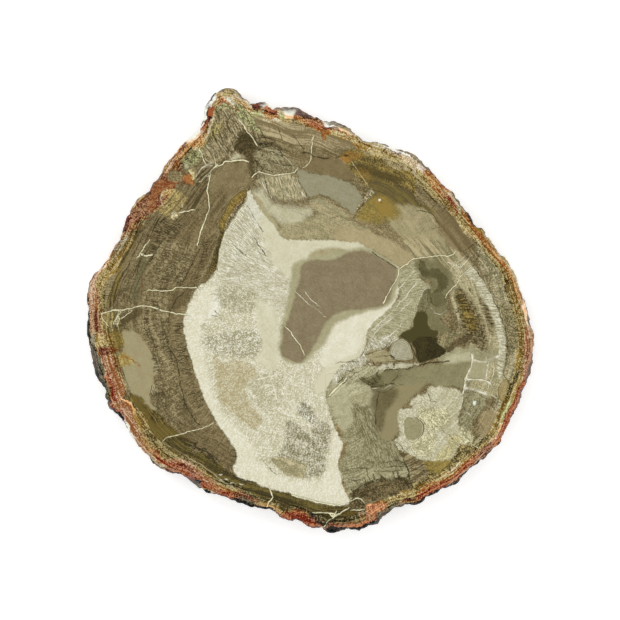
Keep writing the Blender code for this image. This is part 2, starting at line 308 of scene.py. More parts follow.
softZones = {
    "taupe wedge": ("walnut fawn smooth", 0, "300,170 316,158 335,160 343,163 354,178 340,179 310,171"),
    "chalcedony": ("khaki dove smooth", 0, "298,171 310,173 350,183 362,198 366,201 360,205 352,214 "
        "345,208 330,198 320,195 308,196 298,178"),
    "frill": ("brown oat speckled", 0, "363,199 366,192 371,189 374,193 370,197 356,212 354,211"),
    "smoky loop": ("pine sage smooth", 0, "419,262 424,262 428,270 436,268 440,270 449,282 440,294 438,297 "
        "434,293 438,286 436,278 422,275"),
    "khaki lens": ("sage khaki smooth", 0, "430,306 436,306 445,304 445,311 438,315 431,312"),
    "khaki blob": ("moss sand mottled", 0, "434,342 440,336 455,330 466,330 452,342 447,349 440,350"),
    "dark wedge": ("peat taupe smooth", 0, "449,349 454,342 470,333 471,337 462,344 440,356 428,360 "
        "432,356"),
    "white streak": ("lichen cream smooth", 0, "378,370 383,364 390,363 412,364 419,362 415,366 390,369"),
    "white scrap": ("flax linen smooth", 0, "331,394 342,382 346,384 334,396"),
    "whitish arc": ("lichen cream streaked", 0, "470,266 474,268 492,296 504,330 505,360 503,372 499,378 "
        "497,370 499,355 495,325 489,310 476,286 469,277 463,273"),
    "panel": ("lichen flax smooth", 0, "471,363 486,362 486,378 468,378"),
    "lower dark": ("peat taupe speckled", 0, "350,498 354,490 362,488 368,481 376,483 383,477 392,480 "
        "400,476 412,482 409,489 402,491 396,496 384,495 374,500 362,497"),
    "lower dark glow": ("umber fawn speckled", 0.7, "370,486 384,482 398,483 404,487 392,492 366,494"),
    "star body": ("straw cream flecked", 0, "398,412 411,408 411,402 415,397 425,393 432,387 455,389 "
        "462,392 463,402 459,414 460,430 462,437 452,458 428,461 410,454 398,448 395,441 399,435"),
    "star grey": ("straw linen mottled", 2, "434,390 458,392 462,402 458,416 459,430 450,438 443,428 "
        "444,412"),
    "star yellow top": ("khaki ivory flecked", 1.5, "416,410 444,408 450,416 442,428 430,430 422,424"),
    "star yellow left": ("lichen ivory flecked", 1.5, "412,442 430,432 436,440 434,452 420,456 412,450"),
    "star yellow right": ("lichen butter grainy", 1.5, "450,436 462,436 450,459 434,460 446,444"),
    "star white": ("straw cream flecked", 1, "398,412 411,410 420,415 410,417 404,424 404,434 408,440 "
        "404,447 396,441 399,434"),
}
patchZones = {
    "sliver": ("bronze gold streaked", 0, "246,191 240,192 232,200 222,217 220,228 224,231 227,222 232,212 "
        "239,203 246,197"),
    "sliver red": ("brown oat speckled", 0, "246,197 239,203 232,212 224,231 228,228 240,208 247,200"),
    "dark sliver": ("peat ochre streaked", 0, "221,231 217,245 213,258 210,270 213,273 217,262 220,247 "
        "224,233"),
    "cavity": ("pine pine smooth", 0, "400,336 404,332 412,328 414,320 417,313 423,311 428,316 427,324 "
        "432,330 438,332 434,337 424,336 412,341 403,339"),
    "cavity deep": ("soot pine smooth", 0, "412,341 424,336 436,337 437,344 446,352 424,362 417,359 "
        "416,350"),
    "green lens": ("moss reed smooth", 0, "430,297 438,291 446,300 440,304 433,305"),
    "grey green lens": ("moss khaki mottled", 0, "418,310 421,298 425,291 429,289 429,297 430,304 427,309 "
        "422,312"),
    "bottom pit": ("peat fawn speckled", 0, "350,500 358,499 364,503 364,509 354,511 350,507"),
    "pale blob": ("khaki pearl smooth", 0, "400,339 407,342 411,348 413,357 411,360 400,360 391,357 "
        "390,350 394,342"),
    "star lens": ("khaki straw smooth", 0, "405,420 411,417 418,419 424,426 422,434 415,440 409,439 "
        "405,432"),
    "right lens": ("ochre sand mottled", 0, "500,400 499,390 502,382 506,379 510,384 510,394 506,401"),
}
rimZones = {
    "mint spot": ("mint chalk smooth", 0, "472,403 474,401 477,402 475,405"),
    "golden dot": ("cream chalk smooth", 0, "378.6,200 379.5,199 380.4,200 379.5,201"),
    "olive blob": ("walnut sand speckled", 0, "167,175 172,171 180,172 183,177 181,182 175,185 169,183"),
    "green spot": ("khaki shell smooth", 0, "184,164 188,163 189,168 186,170 184,168"),
    "cream fleck": ("taupe sand speckled", 0, "190,168 194,165 196,172 198,180 195,178"),
    "spur white": ("sand milk speckled", 0, "224,99 231,98 237,102 235,105 229,104"),
    "spur star": ("brick peach mottled", 0, "221,97 224,98 228,105 223,102 218,107"),
    "spur cross": ("brick butter banded", 0, "232,104 236,108 240,112 234,109"),
    "spur red": ("brick red smooth", 0, "208,109 211,107 216,108 213,113 212,117 208,116"),
    "terracotta": ("oxblood salmon speckled", 0, "155,178 166,173 166,180 176,185 182,183 172,189 162,192 "
        "156,208 140,218 131,216 134,207 149,195 153,186"),
    "terracotta heart": ("rust clay speckled", 0.6, "154,183 166,180 180,184 166,191 158,196 153,208 "
        "148,210 151,196"),
    "dark red spot": ("oxblood red smooth", 0, "155,182 162,179 170,184 165,188 157,188"),
    "orange spot": ("brick orange speckled", 0, "182,179 189,174 193,181 192,185"),
    "cream spot": ("gold ivory speckled", 0, "189,170 193,169 196,177 193,179 190,175"),
    "yellow spot": ("ginger butter speckled", 0, "161,195 165,190 172,189 170,193 163,197"),
    "khaki chip": ("sand ivory speckled", 0, "171,214 176,211 178,217 173,219"),
    "top drip": ("rust orange smooth", 0, "321,132 324,129 332,132 327,135 324,141"),
    "right fray": ("camel blush speckled", 0, "402,154 418,162 414,176 412,168 404,160"),
    "bottom fan": ("brick peach mottled", 0, "367,505 378,503 388,504 383,510 376,513 369,515"),
    "bottom pink": ("rust salmon speckled", 0, "367,512 372,516 371,521 366,520"),
}
layers = {
    "wood": {"loose": 2.2,
        "base": "brown camel mottled", "zones": woodZones},
    "pale": {"edge": 0.45, "rag": 2.6, "outline": 0.5, "loose": 1,
        "base": "linen milk smooth", "zones": paleZones},
    "soft": {"edge": 0.6, "rag": 3.4, "outline": 0.2, "loose": 1.4,
        "base": "reed lichen smooth", "zones": softZones},
    "patch": {"edge": 0.3, "rag": 1.4, "outline": 0.8, "loose": 1,
        "base": "reed lichen smooth", "zones": patchZones},
    "rim": {"edge": 0.25, "rag": 2.6, "outline": 0.4, "loose": 1,
        "base": "oxblood clay speckled", "zones": rimZones},
}

# Thin lines: each group's tint, how strong it is where it is faint and where it is full, and its paths
# in the photograph's pixels by their width in mm
lines = {
    "veins": {"tint": "ivory", "fringe": "peat", "strength": (0.75, 1), "paths": {
        0.4: "445,297 450,290 455,286 459,281 461,276 471,267; 101,314 102,318 108,325; 216,166 213,152 "
            "208,143 205,136; 314,136 312,142 311,158 307,166 303,168; 163,441 167,437 172,436 200,429 "
            "213,423; 137,258 149,240; 478,448 470,443; 330,514 332,517 336,512; 114,324 117,317 121,312; "
            "117,326 119,319; 122,318 132,311",
        0.5: "285,327 290,331 300,346 304,354; 148,290 165,291 172,290 180,287 196,288; 239,119 257,145; "
            "210,172 209,181 207,190 209,207 205,219 197,245; 199,149 205,163; 179,213 186,211 194,210; "
            "297,169 292,173 275,175 265,174 258,172 252,176; 384,303 388,293 397,278 400,269 408,263 "
            "414,259 430,257 450,255 456,252; 350,501 358,498 364,503; 352,510 364,509",
        0.6: "101,314 113,310 122,310.5 138,306.5 150,306 157,308.5 172,312.5 186,315; 216,166 222,164 "
            "226,161.5 241,160 248,162; 216,166 200,181; 270,489 273,498 269,502 267,506; 471,355 472,362 "
            "466,380 463,392; 466,379 475,379 490,382; 349,508 340,513 329,521 325,526; 313,512.5 330,513 "
            "334,515; 292,495 322,503 340,505.5",
        0.8: "346,379 330,395; 138,257.5 141,255.5 146,256 152,255",
    }},
    "milk": {"tint": "milk", "strength": (0.15, 0.8), "paths": {
        0.3: "367,346 363,353 361,360; 396,339 384,350 378,352; 350,374 345,379; 353,376 348,382; 357,377 "
            "352,383; 374,388 383,388 391,385.5; 330,366 338,364 346,364; 326,374 336,369 345,368; 421,302 "
            "422,294 426,289 431,288; 431,309 435,313 441,314 446,311; 448,262 466,270; 472,256 456,272; "
            "466,255 450,270; 196,176 200,170 206,166 212,166; 402,413 408,415 415,419; 416,440 420,437; "
            "446,392 452,396 458,398; 431,392 437,396; 466,412 471,417; 486,392 496,398; 489,362 487,372 "
            "483,384; 494,363 493,374 488,388; 500,340 500,352 498,362; 296,292 303,299 315,308 325,317; "
            "303,290 310,298 320,307; 262,182 266,190 272,198; 278,178 283,188 290,198; 290,177 298,188 "
            "306,197",
        0.4: "258,380 280,373; 266,388 278,382; 372,338 380,328 404,308 412,300; 372,330 384,320 396,308 "
            "406,296; 380,342 392,334 402,324; 398,290 406,280 414,272; 402,302 412,288 420,280",
        0.5: "259,379 270,376 282,371; 262,386 284,379; 266,393 285,387; 268,374 273,386 277,400; 276,372 "
            "283,394",
        0.6: "225.5,479 226.5,479.2; 231.5,483 232.5,483.2; 240.5,484.3 241.5,484.5; 220,474.8 221,475; "
            "370,364.4 371,364.6; 181.6,206 182.4,207; 451,470.5 454,467.5; 457,465 459,463; 486,358 "
            "487,370 486,382",
        1.1: "473,361 484,361 498,357; 467,379 478,380 490,383; 466,388 478,391 490,396; 472,356 471,368 "
            "463,392",
    }},
    "shade": {"tint": "dove", "strength": (0.15, 0.8), "paths": {
        0.3: "232,362 244,374 256,388; 246,392 266,412; 240,398 250,408 258,420; 224,380 244,400; 250,366 "
            "258,376 264,386",
        0.4: "261,178 270,192 280,204; 268,176 294,206; 276,175 292,190 306,200; 286,174 298,186 312,196; "
            "257,184 262,196 270,208; 262,206 276,216 290,222; 284,206 296,212 308,216; 300,204 316,200 "
            "328,206",
    }},
    "threads": {"tint": "shell", "strength": (0.2, 0.8), "paths": {
        0.3: "466,387 478,389 490,394; 420,421 423,428 420,436 415,440",
        0.4: "205,163 213,161; 199,171 204,166 213,163; 163,443 200,464 222,481 234,488; 484,452 474,463 "
            "448,485; 351,161 367,184 370,192; 214,118 220,130; 222,108 231,122; 232,128 238,137; 206,144 "
            "213,153; 218,142 226,152; 208,124 212,134; 226,132 230,142; 196,146 201,156; 240,118 247,130; "
            "262,152 270,168; 270,150 282,166; 282,152 294,168",
        0.5: "113,330 115,321 118,313; 166,188 162,193 161,200 163,206",
        0.6: "472,362 490,361 498,358",
    }},
    "cracks": {"tint": "peat", "strength": (0.4, 0.95), "paths": {
        0.3: "172,450 180,452 208,468; 166,444 186,450 196,455 204,461; 178,456.5 208,473 216,479; 212,478 "
            "234,492 246,495; 230,478 244,484 260,489; 236,487 250,490 284,501; 441,430 453,439; 421,420 "
            "424,427 422,434 417,440; 405,450 414,446 418,449 430,451; 427,393 430,398; 430,400 436,402; "
            "412,399 416,402; 464,390 463,406 466,412; 452,386 458,388 461,390; 480,423 484,430; 417,417 "
            "421,421; 395,442 400,445 405,451; 430,298 432,303 437,306 443,305 446,300; 419,264 420,272 "
            "425,277 431,279; 462,274 476,260 480,252; 247,205 256,220; 258,224 264,232; 262,460 271,470 "
            "276,474",
        0.4: "366,355 376,351 383,350 392,340; 362,355 366,348; 380,363 384,361 404,362; 375,357 388,356; "
            "370,360 378,367; 386,370 399,368.5; 398,372 396,378 391,382; 377,392 383,392 390,390 397,386 "
            "403,384; 346,370 350,370.5 353,369.5; 343,384 352,374; 336,363 360,361; 350,378 354,374 "
            "359,372; 118,268 136,238 144,228; 115,292 134,254 142,240 152,228; 122,300 139,262 160,234; "
            "131,303 135,290 147,264 156,250 166,238; 108,300 118,274; 156,214 176,202; 160,222 182,208; "
            "188,196 194,188 200,182; 184,214 200,190; 150,262 160,244; 380,467 406,466; 374,471 388,471.5 "
            "402,470; 384,462 396,461 404,463; 408,462 418,464 430,465; 410,468 420,470 432,471; 412,474 "
            "422,475 434,474; 396,446 402,456 410,478; 345,470 356,468 368,468; 346,456 358,458 370,462; "
            "342,482 352,480 362,481; 172,308 169,318 169,330 168,345; 372,252 397,269; 229,137 235,148; "
            "293,135 303,148; 278,128 282,140; 265,181 270,197; 298,180 303,187 307,195; 330,219 340,216 "
            "351,221 357,212 366,202; 247,195 233,214 227,226; 224,233 214,264; 412,178 413,190 415,200 "
            "421,206; 417,211 428,212 433,215 436,221 439,227 430,229; 431,197 436,203; 446,205 443,212; "
            "424,168 434,178 450,199 461,209 480,230; 466,250 480,240; 503,374 510,384 511,390; 474,267 "
            "487,286 502,318 506,332 507,348 506,362 503,374; 400,452 404,460 410,476 408,484 411,488 "
            "422,491; 367,468 368,476 371,482; 441,351 450,347 462,338 470,333; 121,366 130,390 130,398; "
            "140,262 131,292 126,304; 180,285.5 196,286.5; 215,311 219,314; 211,316 219,317 222,321; "
            "233,244 246,256; 254,238 266,255; 362,507 366,514",
        0.5: "206,130 210,140; 218,128 222,140; 226,122 232,134; 236,120 242,132; 240,140 234,152; 246,142 "
            "240,154; 226,146 232,154; 212,146 218,156; 192,150 198,160; 188,158 196,166; 216,110 220,120; "
            "244,112 250,124; 232,112 228,120; 258,150 268,146 280,150; 262,156 272,152 284,156; 256,160 "
            "262,168 272,172; 268,160 280,164 292,166; 276,146 286,156 298,160; 260,146 264,158 262,170; "
            "205,138 212,150 215,158; 256,122 260,130 265,137; 250,162 256,162 256,176 250,184 249,190; "
            "507,326 512,327 517,330; 506,346 511,347 517,350 524,356; 401,336 408,341 413,349 416,358; "
            "150,262 158,246 178,224; 182,284 198,252 204,238; 158,289 164,288.5 168,289.5; 352,510 "
            "362,524",
        0.6: "360,379 369,385 376,386.5 394,383; 363,378 368,382 374,384; 372,377 376,382; 376,374 "
            "380,380; 378,371 376.5,375 378,379; 339,382 345,376; 203,448 206,449 214,461 224,469 "
            "228,469.5; 202,452 208,458 222,469 230,473; 180,438 192,442 196,447 203,449; 226,469 238,478 "
            "256,483; 230,443 233,445; 232,450 235,451; 232,456 236,456; 231,461 235,462; 229,465 234,465; "
            "227,438 230,440; 168,345 177,362 181,388 187,408 193,418 199,424; 385,371 396,369 413,368; "
            "378,396 376,414 376,425; 255,139 262,137.5 270,139 281,148 288,152; 493,273 501,273; 504,303 "
            "508,303 512,305; 355,494 351,490; 360,487 357,482; 367,484 364,478; 374,482 373,475; 382,479 "
            "380,474; 390,479 393,473; 398,479 398,473; 405,479 409,474; 409,484 415,482; 372,490 380,486 "
            "390,484; 360,494 368,490 376,493; 352,500 358,488 374,482 380,479 392,479 404,478; 170,312 "
            "176,300 184,292",
        0.8: "214,166 210,172 201,180; 207,168 201,173 197,178; 412,368 418,365 449,361; 318,157 324,159 "
            "330,158; 132,230 134,233",
        1: "386,365 387,366; 391,355.5 394,357.5; 393.5,364 394,365; 447,466 450,463; 452,459 455,457; "
            "458,455 461,453; 440,472 444,470; 430,475 434,474; 450,470 449,467; 455,463 457,461; 424,481 "
            "428,479; 462,450 465,447; 467,443 469,442; 436,478 439,476; 469,289.5 469.5,290.5; 480,297.5 "
            "481,298.5; 457,297 460,300; 213,132 214,137 216,141; 302,153 308,153 314,156; 337,158 342,155 "
            "348,156; 326,524 334,519 342,516; 357,489 362,485; 366,484 371,481; 378,480 384,478; 392,479 "
            "399,478; 404,480 408,486; 360,497 366,495",
    }},
    "ochre": {"tint": "ginger", "strength": (0.1, 0.75), "paths": {
        0.4: "356,168 368,184 371,190; 360,168 376,188; 352,154 346,158 344,162; 366,170 374,180",
        0.6: "336,424 340,433 344,446 341,453 339,462; 339,466 341,474 342,482 349,500; 408,493 420,491 "
            "432,485 456,469",
        0.8: "122,357 128,357 140,367; 121,359 126,364",
    }},
    "rust": {"tint": "rust", "strength": (0.4, 0.95), "paths": {
        0.3: "123,357 134,361 140,366; 187,176 190,181",
        0.4: "165,176 168,172 173,169.5 180,170 186,174; 222,99 231,110; 240,102 252,117; 322,138 325,133 "
            "330,134; 117,362 121,371 124,381; 122,232 118,243 111,256 101,270; 142,276 142,302; 496,250 "
            "505,262 512,274 517,288 519,300; 501,273 511,272; 478,449 470,458 446,477 430,487; 379,505 "
            "381,511; 242,199 236,206 230,215",
        0.5: "274,109 286,107 300,109; 338,134 353,141 359,149; 385,153 400,155 402,160 402,167; 368,507 "
            "372,517; 372,505 378,516; 378,504 383,513; 384,504 386,511; 371,506 377,518; 178,182 184,184 "
            "188,187",
        0.6: "221,100 212,109; 271,110 273,122; 330,525 360,522; 128,226 134,229 140,226; 380.5,202 "
            "381.5,202.5",
        0.8: "138,216 144,219 149,217; 151,212 160,202; 156,182 162,184 169,183 163,187; 178,183 183,182.5 "
            "188,186; 105,350 112,349 121,350; 101,353 104,366",
    }},
}

# Rows of short dashes, most of them filled vessels: the row's path, the dashes' spacing and length in
# pixels, and how far they lean from the path, in degrees
dashRows = {
    "cracks": {
        "upper arc": ("153,282 158,270 165,258 172,248", 3.4, 5, 70),
        "upper inner arc": ("164,284 168,274 174,264 182,256", 3.2, 6, 78),
        "upper rows": ("176,284 182,272 188,260 194,248", 3.4, 5, 84),
        "strip": ("196,284 201,268 205,252 207,242", 3.2, 4.5, 80),
        "left column": ("145,306 146,322 150,338 157,352", 3.6, 4.5, 60),
        "second column": ("156,300 158,318 160,334 163,348", 3.8, 5, 100),
        "third column": ("166,320 165,336 170,352 173,366", 3.4, 4, 90),
        "blobs": ("155,354 157,363 158,373", 3, 6, 85),
        "comb": ("149,391 156,392 164,397", 3, 11, 95),
        "comb foot": ("156,403 162,406 167,404", 3, 6, 90),
        "dots": ("156,416 166,420 178,424 188,424", 4, 3, 60),
        "ring dots": ("180,398 185,408 190,416", 3.4, 3, 90),
        "ladder": ("178,322 178,338 182,354 187,372 193,390 202,408", 3, 9, 88),
        "brown vessels": ("458,294 466,304 474,318 480,334", 3.4, 8, 96),
        "brown vessels in": ("458,306 463,316 468,330 472,342", 3.6, 7, 92),
    },
    "shade": {
        "cream strokes": ("224,246 236,230 252,216", 4.2, 11, 100),
        "cream strokes low": ("228,264 246,246 266,232", 4, 12, 100),
        "cream strokes lowest": ("234,282 254,264 272,250", 4.4, 10, 98),
        "cream fibres": ("236,252 236,268 228,284", 4, 8, 70),
        "cream dashes": ("216,288 218,298 222,306", 4, 9, 85),
        "cream dashes right": ("232,292 236,302 240,312", 3.6, 10, 85),
        "cream dashes low": ("204,322 208,336 216,350", 4.4, 7, 80),
        "cream dashes lower": ("226,322 228,336 232,348", 4.2, 8, 86),
    },
}

# The bark as it runs clockwise from the spur: a pixel of the photograph on the silhouette, and the
# bands that lie inside it there, each with its width in pixels
# The outermost black bands, widest along the bottom, are partly painted shadow at the silhouette.
barkBands = {
    "228,87": "gold 8, gold 3, chalk 3, honey 4",
    "237,92": "olive 3, oat 4, ginger 2, honey 3",
    "249,103": "soot 1, oat 3, orange 2, honey 3",
    "254,103": "oxblood 7, gold 2, lime 4",
    "270,108": "chalk 3, red 3, oxblood 2, orange 4, oat 4",
    "278,107": "ginger 2, oat 8, lime 3, honey 3",
    "288,107": "ginger 2, chalk 9, blush 3, honey 5",
    "304,111": "red 3, oxblood 5, orange 5, ochre 3",
    "320,121": "soot 1, clay 4, red 4, orange 3",
    "328,121": "grey 0.5, chalk 7, oxblood 3, orange 2, honey 3",
    "348,129": "gold 2, oat 4, blush 2, ginger 1.5, honey 6",
    "360,140": "soot 1, oat 2, ginger 1, honey 6",
    "380,144": "olive 1.5, oat 6, honey 5, gold 5",
    "392,149": "gold 1, chalk 4, oxblood 1, oat 3, gold 6",
    "408,152": "gold 3, ginger 1, chalk 4, honey 6",
    "417,158": "olive 1.5, sand 4, chalk 4, honey 3, ochre 4",
    "433,173": "slate 1, oxblood 2, orange 7, gold 5, ochre 6",
    "440,183": "black 1, red 2, orange 8, gold 5, ochre 3",
    "456,197": "soot 1, gold 3, oat 2, red 4, gold 6",
    "470,217": "oxblood 3, orange 3, gold 4, gold 2, honey 2",
    "485,231": "gold 2, honey 3, orange 5, honey 3, olive 2",
    "495,247": "oat 4, orange 5, gold 4, olive 1",
    "510,267": "oat 3, orange 4, gold 4, bronze 1",
    "519,290": "chalk 2, ginger 1, orange 4, gold 7, olive 2",
    "528,312": "slate 2, blush 5, gold 3, gold 6, olive 3",
    "535,337": "soot 1.5, clay 5, salmon 5, gold 6",
    "531,362": "grey 3, brick 6, salmon 2, gold 4, honey 4",
    "526,387": "grey 3, red 5, honey 5, olive 4",
    "512,416": "soot 1.5, red 7, lime 4, gold 4",
    "501,436": "soot 2, red 6, blush 1, gold 5, honey 3",
    "490,451": "black 2.5, brick 7, gold 4, olive 3",
    "466,470": "black 3.5, red 5, orange 2, honey 3",
    "456,480": "slate 3, red 5, orange 2, honey 5, gold 2",
    "428,497": "black 4, red 5, orange 4, gold 4",
    "406,504": "black 3.5, ginger 2, oxblood 2, gold 6, honey 2",
    "392,510": "black 4, umber 4, ochre 4, gold 2",
    "384,516": "black 5, umber 4, red 5, orange 4",
    "376,523": "black 6, red 4, orange 9, salmon 3",
    "357,529": "black 3.5, red 3, bronze 4, olive 4",
    "341,529": "black 6, brick 3, bronze 6",
    "334,533": "black 7, brick 3, bronze 5",
    "322,526": "black 2, brick 2, soot 4, olive 4",
    "313,527": "soot 1, red 6, brick 4, soot 4, olive 3",
    "292,519": "black 1, red 8, ginger 2, bronze 3",
    "270,508": "black 3, orange 2, gold 3, olive 3",
    "246,505": "black 5, umber 3, brick 4, olive 3",
    "224,496": "black 3, red 5, orange 3, gold 3, olive 4",
    "202,489": "black 3, oat 1, red 6, salmon 5, gold 4",
    "196,486": "black 1.5, slate 8, red 4, salmon 5, gold 4",
    "188,479": "black 3, red 6, brick 4, salmon 4, ochre 5",
    "168,471": "black 3, brick 5, red 4, salmon 4, ochre 6",
    "158,466": "black 4, oat 3, red 5, gold 4, ochre 7",
    "140,446": "soot 1.5, salmon 6, ginger 5, ochre 8",
    "130,431": "soot 1, chalk 2, salmon 8, honey 4, gold 7",
    "113,411": "black 4, red 2, salmon 10, blush 2, olive 1",
    "106,389": "black 3, bronze 4, red 5, salmon 9, gold 2",
    "95,366": "black 5, umber 7, salmon 11, ginger 3, gold 2",
    "91,349": "black 3, umber 6, ginger 2, brick 11, ginger 5",
    "90,344": "black 4, taupe 5, honey 8, gold 9",
    "87,322": "soot 3, clay 4, brick 3, clay 4, gold 3",
    "88,300": "soot 1.5, salmon 9, brick 1, gold 4, olive 3",
    "93,276": "grey 1.5, salmon 5, brick 1, gold 5, honey 4",
    "102,267": "slate 1, blush 2, ginger 1, gold 6, honey 4",
    "120,240": "grey 1, blush 1.5, ginger 1, sand 6, gold 5",
    "123,226": "red 2, oxblood 2, brick 4, ginger 4, olive 4",
    "137,201": "honey 4, red 3, brick 10, oxblood 1, honey 2",
    "153,183": "oxblood 2, red 8, brick 9, ginger 2",
    "163,170": "ginger 3, salmon 4, ginger 6, brick 3",
    "181,149": "blush 1.5, brick 3, orange 4, olive 5",
    "195,136": "chalk 4, blush 2, orange 7, honey 3",
    "200,127": "chalk 4, red 3, ginger 3, oat 2",
    "207,113": "chalk 4, oxblood 5, oat 3",
    "211,102": "slate 3, chalk 3, brick 1, honey 3",
    "219,91": "slate 2, gold 3, ginger 3, honey 3",
}

# How the paint follows the stone. Sizes are in mm.
paint = {
    "wander": (0.55, 4.5),       # outlines wander by this much, in lumps of this size
    "flutter": (0.3, 1.3),
    "perSpan": 4,                # pieces that each span of an outline is drawn with
    "drift": 2.2,                # how far the markings drift on their way down the wall
    "backDrift": 6.0,            # and on the sawn back
    "driftSize": 9,
    "driftPlace": (7, 3, 1),     # gives the drift a noise of its own
    "centre": "322,300",         # the photograph's pixel that the rays come from
    "crispReach": 4.0,           # how far outside a crisp outline its distance is known
    "reach": 2.5,                # how far from a line its paint is known
    "noLine": (9.0, 9.0, 0.3),   # what a point further away gets: both distances and half a width
    "rimBands": 5,
    "rimReach": 18.0,            # how far in from the silhouette the rim's depth is known
    "halfWidth": 115.0,          # half of the width of the slice, by which that depth is a share of it
    "inside": 99.0,              # the depth that points further in get
    "bandBlend": 1.8,            # how soon one place's bands of bark turn into the next one's
    "turns": 720,                # directions from the centre in which the rim is measured
    "evened": 25,                # and how many of them are averaged
    "raySpread": 0.8,
    "slots": 540,                # directions in which the silhouette is looked for
}
dash = {
    "width": 0.42,
    "uneven": ((14, 2.4), (0.18, 1.7), (1.1, 3.1)),  # swings of lean, length and place, and their steps
}
centre = onSlice(paint["centre"])[0]


def smoothPath(path, closed):
    # a smooth curve through the path's pixels, in mm
    ends = onSlice(path)
    if closed:
        ends = np.vstack((ends[-1:], ends, ends[:2]))
    else:
        ends = np.vstack((2 * ends[:1] - ends[1:2], ends, 2 * ends[-1:] - ends[-2:-1]))
    steps = np.linspace(0, 1, paint["perSpan"], endpoint=False)[:, None]
    curve = []
    for a, b, c, d in zip(ends, ends[1:], ends[2:], ends[3:]):
        bend = 2 * a - 5 * b + 4 * c - d + steps * (3 * b - a - 3 * c + d)
        curve.append(b + 0.5 * steps * (c - a + steps * bend))
    return np.vstack(curve + [ends[-2:-1]])


def nearestOn(points, path):
    # distance from each point to the path, the side of it that the point is on, and how far along
    gap, side, along = np.full(len(points), np.inf), np.ones(len(points)), np.zeros(len(points))
    passed = 0.0
    for start, end in zip(path[:-1], path[1:]):
        run = end - start
        length = run @ run
        if length > 0:
            share = np.clip((points - start) @ run / length, 0, 1)
            away = points - start - share[:, None] * run
            here = np.hypot(away[:, 0], away[:, 1])
            closer = here < gap
            gap[closer] = here[closer]
            side[closer] = np.sign(run[0] * away[:, 1] - run[1] * away[:, 0])[closer]
            along[closer] = passed + share[closer] * math.sqrt(length)
            passed += math.sqrt(length)
    return gap, side, along


def insideOf(points, outline):
    # whether each point lies inside the closed outline
    x, y = points.T
    odd = np.zeros(len(points), bool)
    for (ax, ay), (bx, by) in zip(outline, np.roll(outline, -1, 0)):
        if ay != by:
            odd ^= ((ay > y) != (by > y)) & (x < (bx - ax) * (y - ay) / (by - ay) + ax)
    return odd


def boxed(points, path, margin):
    # the points that lie within the path's box and a margin round it
    low, high = path.min(0) - margin, path.max(0) + margin
    return np.flatnonzero(((points > low) & (points < high)).all(1))


def smoothStep(value):
    value = np.clip(value, 0, 1)
    return value * value * (3 - 2 * value)


def tint(name):
    return linearColour(tints[name])


def stoneOf(kind):
    # the ten numbers that a zone paints: its dark tint, its light tint and its texture's strengths
    dark, light, texture = kind.split()
    return np.array((*tint(dark)[:3], *tint(light)[:3], *textures[texture]))


def paintLayer(points, layer):
    # what each point gets from the layer, and how deep inside its crisp outlines the point lies, in mm
    stoneHere = np.tile(stoneOf(layer["base"]), (len(points), 1))
    deep = np.full(len(points), -paint["crispReach"])
    for kind, blur, outline in layer["zones"].values():
        path = smoothPath(outline, True)
        near = boxed(points, path, blur or paint["crispReach"])
        gap, _, _ = nearestOn(points[near], path)
        signed = np.where(insideOf(points[near], path[:-1]), gap, -gap)
        if blur:
            share = smoothStep(0.5 + 0.5 * signed / blur)[:, None]
            stoneHere[near] = stoneHere[near] * (1 - share) + stoneOf(kind) * share
        else:
            take = near[signed > deep[near]]
            deep[near] = np.maximum(deep[near], signed)
            stoneHere[take] = stoneOf(kind)
    return stoneHere, deep


def dashesAlong(path, spacing, length, lean):
    # short dashes across a path, a little uneven, as paths in the photograph's pixels
    path = pixels(path)
    passed = np.concatenate(([0], np.cumsum(np.hypot(*np.diff(path, axis=0).T))))
    for i, place in enumerate(np.arange(spacing / 2, passed[-1], spacing)):
        here, ahead = (
            np.array([np.interp(along, passed, column) for column in path.T]) for along in (place, place + 1)
        )
        leans, grows, shifts = (swing * math.sin(i * step) for swing, step in dash["uneven"])
        turn = math.atan2(*(ahead - here)[::-1]) + math.radians(lean + leans)
        across = np.array((math.cos(turn), math.sin(turn)))
        middle, half = here + across * shifts, across * length * (0.5 + grows)
        yield [middle - half, middle + half]


def pathsOf(name):
    # the widths and paths of a group of lines, its rows of dashes last
    for width, paths in lines[name]["paths"].items():
        for path in paths.split("; "):
            yield width, path
    for row in dashRows.get(name, {}).values():
        for path in dashesAlong(*row):
            yield dash["width"], path


def paintLines(points, name):
    # signed distance to the group's nearest line, plain distance, and half its width, in mm
    found = np.tile(paint["noLine"], (len(points), 1))
    for width, path in pathsOf(name):
        path = smoothPath(path, False)
        near = boxed(points, path, paint["reach"])
        gap, side, _ = nearestOn(points[near], path)
        closer = gap < found[near, 1]
        row = np.column_stack((gap * side, gap, np.full(len(near), width / 2)))
        found[near[closer]] = row[closer]
    return found


# The shape: the CAD part's wall with finer bark, and finely meshed faces for the paint
stone = {
    "wallCuts": 1,               # each edge of the wall is cut this many times
    "faceGrid": 0.72 * mm,       # mesh of the polished face
    "backGrid": 2.2 * mm,        # mesh of the sawn back
    "clear": 0.75,               # these meshes keep this many of their squares off the wall
    "merge": 0.001 * mm,
    "flat": 0.01 * mm,           # how far off its level a corner of a sawn face may be
    "soften": 0.3,               # how much the CAD part's facets are softened
    "swell": 0.95 * mm,          # makes up for what the softening takes off
    "bark": 1.25 * mm,           # depth of the fine bark relief
    "barkSize": (3.2 * mm, 6.0 * mm),
    "ridge": 0.8,                # below 1 its furrows are narrower than its ridges
    "proud": 0.22,               # share of that relief that lies inside the wall's surface
    "grit": 0.5 * mm,
    "gritSize": 1.3 * mm,
    "edgeBand": 0.12,            # how much of the thickness beside a sawn edge is calmer and chipped
    "edgeCalm": 0.5,
    "chip": 1.0 * mm,            # small chips along both sawn edges
    "chipFrom": 0.25,
    "chipSize": 2.6 * mm,
    "sharp": math.radians(40),
}

